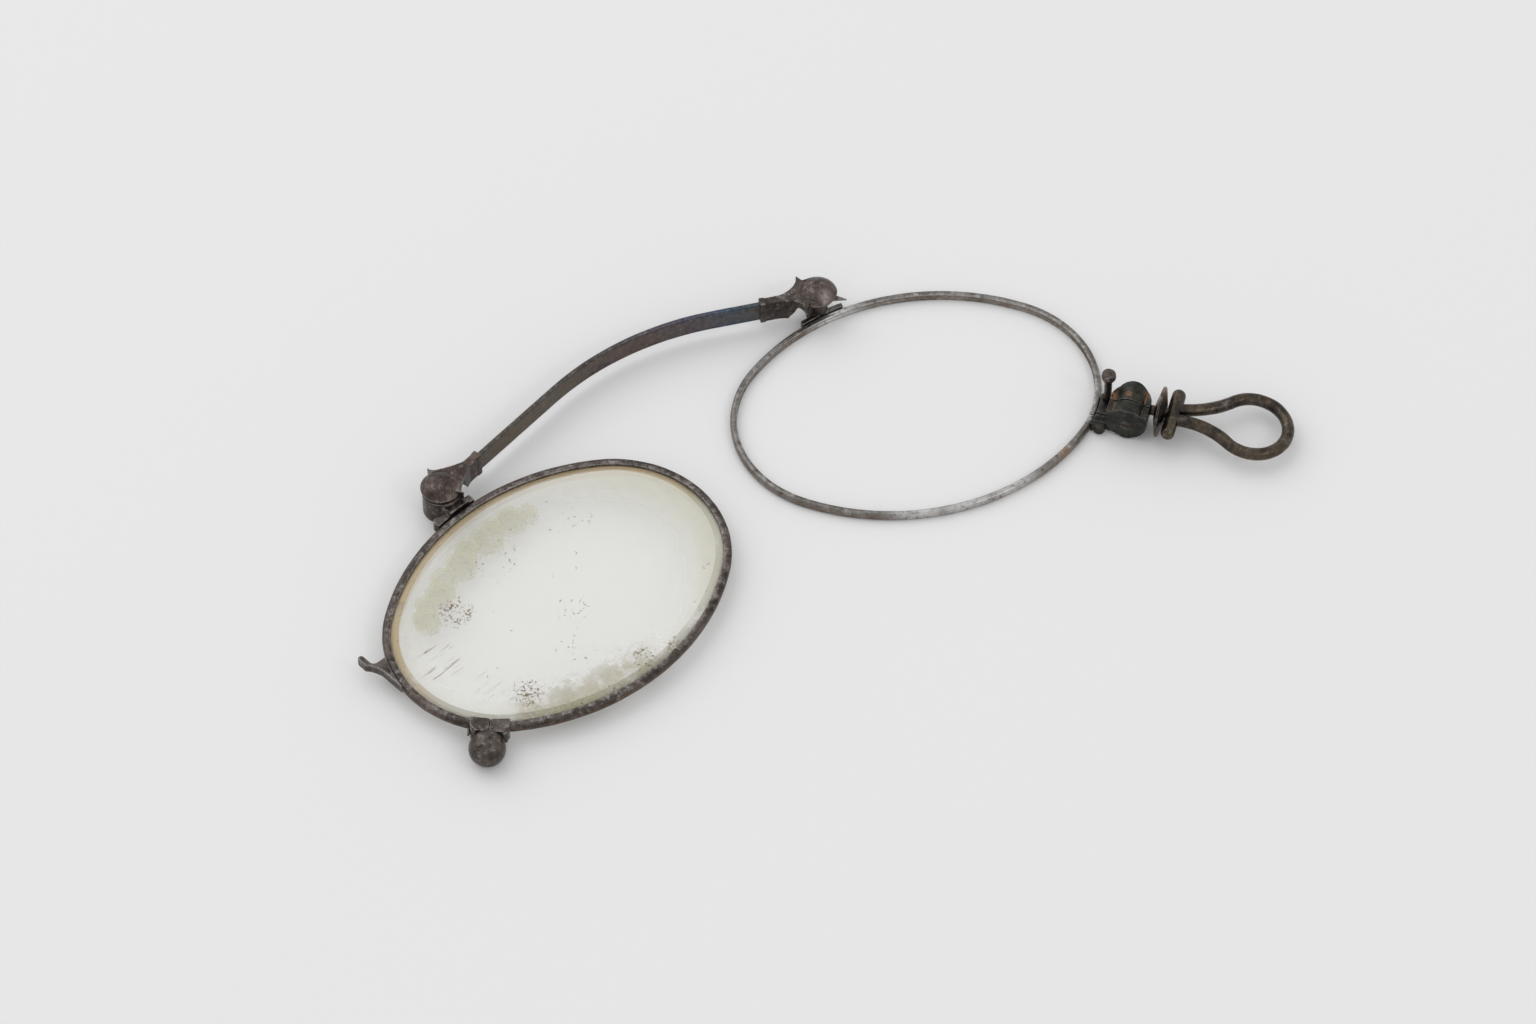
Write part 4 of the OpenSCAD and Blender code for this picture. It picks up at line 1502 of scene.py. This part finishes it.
@dataclass(frozen=True)
class LeftEye:
    """The eye that has kept its lens, with hinge barrel, catch hook, closing block and ball."""

    wire: Eyewire = Eyewire()
    wire_touch: Touch = Touch(0.07, 0.45, 0.03, 2.0, 6.0)
    wire_wear: Wear = Wear(8, 0.04)
    lens_thick: float = 0.9
    lens_edge: float = 0.336
    bevel: float = 0.85
    bevel_shares: Point = (0.93, 0.5)
    arris: float = 0.02
    play: float = 0.03
    crown: float = 0.05
    steps: int = 240
    rings: int = 26
    wear: Wear = Wear(14, 0.045)
    forgings: tuple[Forging, ...] = (
        Forging("left_barrel", Look.DARK, Touch(0.03, 0.7, 0.03, 2.2, 9.0), 0.06, 12),
        Forging("catch_hook", Look.DARK, Touch(0.05, 0.8, 0.03, 2.4, 10.0, 0.1), 0.045, 3),
        Forging("left_block_a", Look.DARK, Touch(0.08, 0.8, 0.04, 2.4, 11.0, 0.04), 0.05, 9),
        Forging("left_block_b", Look.DARK, Touch(0.08, 0.8, 0.04, 2.4, 11.0, 0.04), 0.05, 9),
        Forging("left_closing_screw", Look.LIGHT, Touch(0.01, 1.0, 0.01, 3.0, 13.0), 0.04, 1),
        Forging("ball_knob", Look.DARK, Touch(0.09, 0.55, 0.05, 1.8, 14.0), 0.06, 4),
    )

    def make(self, shop: Workshop) -> None:
        """Builds everything that turns with the left eye.

        Args:
            shop: the workshop.
        """
        layout = shop.layout
        oval, place = layout.left_oval, layout.left_eye()
        middle = layout.left_lift + layout.left_wire[1] / 2
        angle, end = math.radians(layout.ball_angle), oval.end_radius - oval.half_length
        knob_x = end + oval.end_radius * math.cos(angle)
        knob_y = oval.end_radius * math.sin(angle)
        cut_at = self.wire.share_of(oval, lambda x, y: math.hypot(x - knob_x, y - knob_y))
        path = self.wire.path(oval, place, middle, cut_at)
        section = self.wire.section(*layout.left_wire)
        rim = shop.sweep("left_eyewire_piece", path, section, Look.DARK, self.wire_touch)
        shop.hand_over(rim, Body.LEFT_EYE, "left_eyewire", self.wire_wear)
        self.make_lens(shop, oval, place, middle)
        shop.forge_all(self.forgings, Body.LEFT_EYE, self.wear)

    def lens_levels(self, oval: Oval) -> list[tuple[np.ndarray, float, float]]:
        """Rings of the lens from beside its upper pole to beside its lower one.

        Args:
            oval: the opening.

        Returns:
            Each ring's points, its height and whether it is on the bevel.
        """
        half, lip = self.lens_thick / 2, self.lens_edge / 2
        upper, lower = self.bevel_shares
        flat = oval.outline(-self.bevel, self.steps)
        levels: list[tuple[np.ndarray, float, float]] = []
        for ring in range(1, self.rings + 1):
            share = ring / self.rings
            levels.append((flat * share, half + self.crown * (1.0 - share * share), 0.0))
        levels += [
            (oval.outline(-self.bevel * upper, self.steps), half - self.arris, 1.0),
            (oval.outline(-self.bevel * lower, self.steps), (half + lip) / 2, 1.0),
            (oval.outline(-self.play, self.steps), lip, 1.0),
        ]
        tip = oval.outline(self.wire.groove[0] - 2 * self.play, self.steps)
        return levels + [(tip, 0.0, 1.0)] + [(ring, -z, mark) for ring, z, mark in reversed(levels)]

    def make_lens(self, shop: Workshop, oval: Oval, place: Matrix, middle: float) -> None:
        """Builds the bevelled lens, a little crowned on both faces.

        Args:
            shop: the workshop.
            oval: the opening.
            place: frame of the eye.
            middle: height of the lens's middle.
        """
        steps, pole = self.steps, self.lens_thick / 2 + self.crown
        levels = self.lens_levels(oval)
        points, marks = [(0.0, 0.0, pole)], [0.0]
        for ring, z, mark in levels:
            points += [(x, y, z) for x, y in ring]
            marks += [mark] * steps
        points.append((0.0, 0.0, -pole))
        marks.append(0.0)
        low, last = 1 + (len(levels) - 1) * steps, len(points) - 1
        around = [(i, (i + 1) % steps) for i in range(steps)]
        faces: list[tuple[int, ...]] = [(0, 1 + i, 1 + j) for i, j in around]
        for a in range(1, low, steps):
            faces += [(a + i, a + steps + i, a + steps + j, a + j) for i, j in around]
        faces += [(low + i, last, low + j) for i, j in around]
        placed = [place @ Vector((x, y, z + middle)) for x, y, z in points]
        lens = mesh_object("left_lens_piece", placed, [], faces)
        write_layer(lens.data, "bevel", np.array(marks))
        turn_outwards(lens.data)
        for face in lens.data.polygons:
            face.use_smooth = True
        finish = shop.finishes.lens.build(place @ Vector((0.0, 0.0, 0.0)), shop.layout.left_turn)
        lens.data.materials.append(finish)
        lens.data.transform(Matrix.Scale(MM, 4))
        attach(lens, Body.LEFT_EYE.value)
        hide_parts("left_lens")
        LOG.info("%s: %d faces", lens.name, len(lens.data.polygons))


@dataclass(frozen=True)
class RightEye:
    """The empty eye, with hinge barrel, catch stud, closing block and screw.

    The cut's reach is how far behind the block's centre its line can meet the wire.
    """

    wire: Eyewire = Eyewire()
    wire_touch: Touch = Touch(0.05, 0.45, 0.03, 2.0, 21.0)
    wire_wear: Wear = Wear(8, 0.035)
    block_cut: float = 0.68
    cut_reach: float = 8.0
    wear: Wear = Wear(16, 0.045)
    forgings: tuple[Forging, ...] = (
        Forging("right_barrel", Look.DARK, Touch(0.05, 0.7, 0.03, 2.2, 23.0, 0.03), 0.05, 8),
        Forging("catch_stud", Look.DARK, Touch(0.05, 0.7, 0.03, 2.2, 24.0), 0.05, 3),
        Forging("closing_lug", Look.RUST, Touch(0.06, 0.8, 0.04, 2.4, 25.0), 0.05, 4),
        Forging("handle_block_rear", Look.RUST, Touch(0.08, 0.6, 0.04, 2.2, 26.0), 0.06, 3),
        Forging("handle_block_front", Look.RUST, Touch(0.06, 0.6, 0.03, 2.2, 27.0), 0.06, 3),
        Forging("right_closing_screw", Look.DARK, Touch(0.01, 1.0, 0.01, 3.0, 28.0), 0.04, 1),
    )

    def make(self, shop: Workshop) -> None:
        """Builds everything of the right eye but the handle.

        Args:
            shop: the workshop.
        """
        layout = shop.layout
        oval, place = layout.right_oval, layout.right_eye()
        back = (shifted(*layout.block) @ turned(layout.handle_turn)).inverted()

        def off_cut(x: float, y: float) -> float:
            """Distance from the saw cut's line, endless where it meets the wire's far side."""
            seen = back @ Vector((x, y, 0.0))
            return abs(seen.y + self.block_cut) if -self.cut_reach < seen.x < 0.0 else math.inf

        cut_at = self.wire.share_of(oval, off_cut)
        path = self.wire.path(oval, place, layout.right_wire[1] / 2, cut_at)
        section = self.wire.section(*layout.right_wire)
        rim = shop.sweep("right_eyewire_piece", path, section, Look.LIGHT, self.wire_touch)
        shop.hand_over(rim, Body.RIGHT_EYE, "right_eyewire", self.wire_wear)
        shop.forge_all(self.forgings, Body.RIGHT_EYE, self.wear)


@dataclass(frozen=True)
class Handle:
    """Stem with collar disc and cross-bar, and the loop for a cord."""

    bar_at: float = 4.57
    loop_turn: float = 11.4
    droop: float = 5.3
    wire: float = 0.66
    radius: float = 3.72
    reach: float = 8.45
    sag: float = 0.4
    neck: float = 0.73
    root: float = 0.2
    far_shoulder: float = 10.5
    near_shoulder: float = 7.5
    steps: int = 320
    wire_touch: Touch = Touch(0.10, 0.35, 0.04, 1.6, 31.0)
    wire_wear: Wear = Wear(6, 0.06)
    wear: Wear = Wear(14, 0.045)
    forgings: tuple[Forging, ...] = (
        Forging("collar_disc", Look.HANDLED, Touch(0.06, 0.6, 0.03, 2.2, 32.0), 0.05, 2),
        Forging("handle_crossbar", Look.HANDLED, Touch(0.07, 0.7, 0.04, 2.2, 33.0), 0.055, 3),
    )

    def shoulder(self, radius: float, sag: float) -> Point:
        """Where a shoulder of the loop starts.

        Args:
            radius: the shoulder's radius.
            sag: how far the round end is off the loop's axis on that side.

        Returns:
            Its place along the loop, and the angle at which it meets the round end.
        """
        rise = self.neck + radius + sag
        x = self.reach - math.sqrt((self.radius + radius) ** 2 - rise**2)
        return x, math.degrees(math.atan2(rise, self.reach - x))

    def loop_path(self, layout: Layout) -> np.ndarray:
        """Middle line of the loop's wire, from the cross-bar round and back.

        Args:
            layout: places of the parts.

        Returns:
            The line's points in millimetres.
        """
        far_x, far_angle = self.shoulder(self.far_shoulder, self.sag)
        near_x, near_angle = self.shoulder(self.near_shoulder, -self.sag)
        far = (far_x, self.neck + self.far_shoulder)
        near = (near_x, -self.neck - self.near_shoulder)
        end = (self.reach, -self.sag)
        flat: list[Point] = [(self.root, self.neck)]
        flat += arc(far, self.far_shoulder, -90.0, -far_angle, 40)
        flat += arc(end, self.radius, 180.0 - far_angle, near_angle - 180.0, 120)[1:]
        flat += arc(near, self.near_shoulder, near_angle, 90.0, 40)[1:]
        flat.append((self.root, -self.neck))
        place = layout.handle() @ shifted(self.bar_at, 0.0, layout.handle_height)
        place = place @ turned(self.loop_turn) @ Matrix.Rotation(math.radians(self.droop), 4, "Y")
        even = resample(np.array(flat), self.steps)
        return np.array([tuple(place @ Vector((x, y, 0.0))) for x, y in even])

    def make(self, shop: Workshop) -> None:
        """Builds the handle.

        Args:
            shop: the workshop.
        """
        section = arc((0.0, 0.0), self.wire, 0.0, 360.0, 20)[:-1]
        path = self.loop_path(shop.layout)
        loop = shop.sweep("handle_loop_piece", path, section, Look.HANDLED, self.wire_touch)
        shop.hand_over(loop, Body.RIGHT_EYE, "handle_loop", self.wire_wear)
        shop.forge_all(self.forgings, Body.RIGHT_EYE, self.wear)


# Studio ---------------------------------------------------------------------------------


@dataclass(frozen=True)
class Lamp:
    """A square soft lamp that looks at the object."""

    name: str
    place: tuple[float, float, float]
    size: float
    power: float

    def make(self) -> None:
        """Adds the lamp."""
        data = bpy.data.lights.new(self.name, "AREA")
        data.shape = "SQUARE"
        data.size = self.size
        data.energy = self.power
        lamp = bpy.data.objects.new(self.name, data)
        lamp.location = self.place
        lamp.rotation_euler = (-Vector(self.place)).to_track_quat("-Z", "Y").to_euler()
        bpy.context.scene.collection.objects.link(lamp)


@dataclass(frozen=True)
class Studio:
    """Pale table, soft light and the camera of the photograph."""

    table: Colour = (0.765, 0.763, 0.765)
    world: Colour = (1.0, 1.0, 1.0)
    world_strength: float = 0.84
    elevation: float = 51.2
    lens: float = 152.3
    distance: float = 0.6771
    table_half: float = 3.0
    aim: tuple[float, float, float] = (-0.0068, 0.00218, 0.0)
    lamps: tuple[Lamp, ...] = (
        Lamp("soft_key", (-0.45, 0.42, 0.70), 0.95, 2.3),
        Lamp("soft_fill", (0.6, -0.3, 0.8), 0.9, 0.4),
        Lamp("window", (0.52, -0.42, 0.62), 0.09, 0.38),
    )

    def make(self) -> None:
        """Builds the table, the light and the camera."""
        side = self.table_half
        edge = [(-side, -side, 0), (side, -side, 0), (side, side, 0), (-side, side, 0)]
        floor = mesh_object("table", edge, [], [(0, 1, 2, 3)])
        bench = Bench("table_paper")
        paper = bench.node(
            "ShaderNodeBsdfPrincipled",
            None,
            {"Base Color": self.table, "Roughness": 0.9, "Specular IOR Level": 0.1},
        )
        floor.data.materials.append(bench.close(paper.outputs[0]))
        world = bpy.data.worlds.new("studio")
        world.use_nodes = True
        sky = world.node_tree.nodes["Background"]
        sky.inputs[0].default_value = (*self.world, 1.0)
        sky.inputs[1].default_value = self.world_strength
        bpy.context.scene.world = world
        for lamp in self.lamps:
            lamp.make()
        self.make_camera()
        bpy.context.scene.view_settings.view_transform = "Standard"

    def make_camera(self) -> None:
        """Adds the camera at the photograph's height and distance."""
        data = bpy.data.cameras.new("camera")
        data.sensor_width = 36.0
        data.lens = self.lens
        camera = bpy.data.objects.new("camera", data)
        rise = math.radians(self.elevation)
        back = Vector((0.0, -math.cos(rise), math.sin(rise)))
        camera.location = Vector(self.aim) + back * self.distance
        camera.rotation_euler = (-back).to_track_quat("-Z", "Y").to_euler()
        data.clip_start, data.clip_end = 0.01, 20.0
        bpy.context.scene.collection.objects.link(camera)
        bpy.context.scene.camera = camera


def main() -> None:
    """Builds the whole scene."""
    logging.basicConfig(level=logging.INFO, format="%(name)s: %(message)s")
    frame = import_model()
    layout = Layout()
    Studio().make()
    shop = Workshop(frame, layout)
    parts = (
        Ribbon(),
        Ferrule("left", Body.BRIDGE_LEFT, Look.BROWN, 40.0),
        Ferrule("right", Body.BRIDGE_RIGHT, Look.DARK, 50.0),
        LeftEye(),
        RightEye(),
        Handle(),
    )
    for part in parts:
        part.make(shop)


if __name__ == "__main__":
    main()
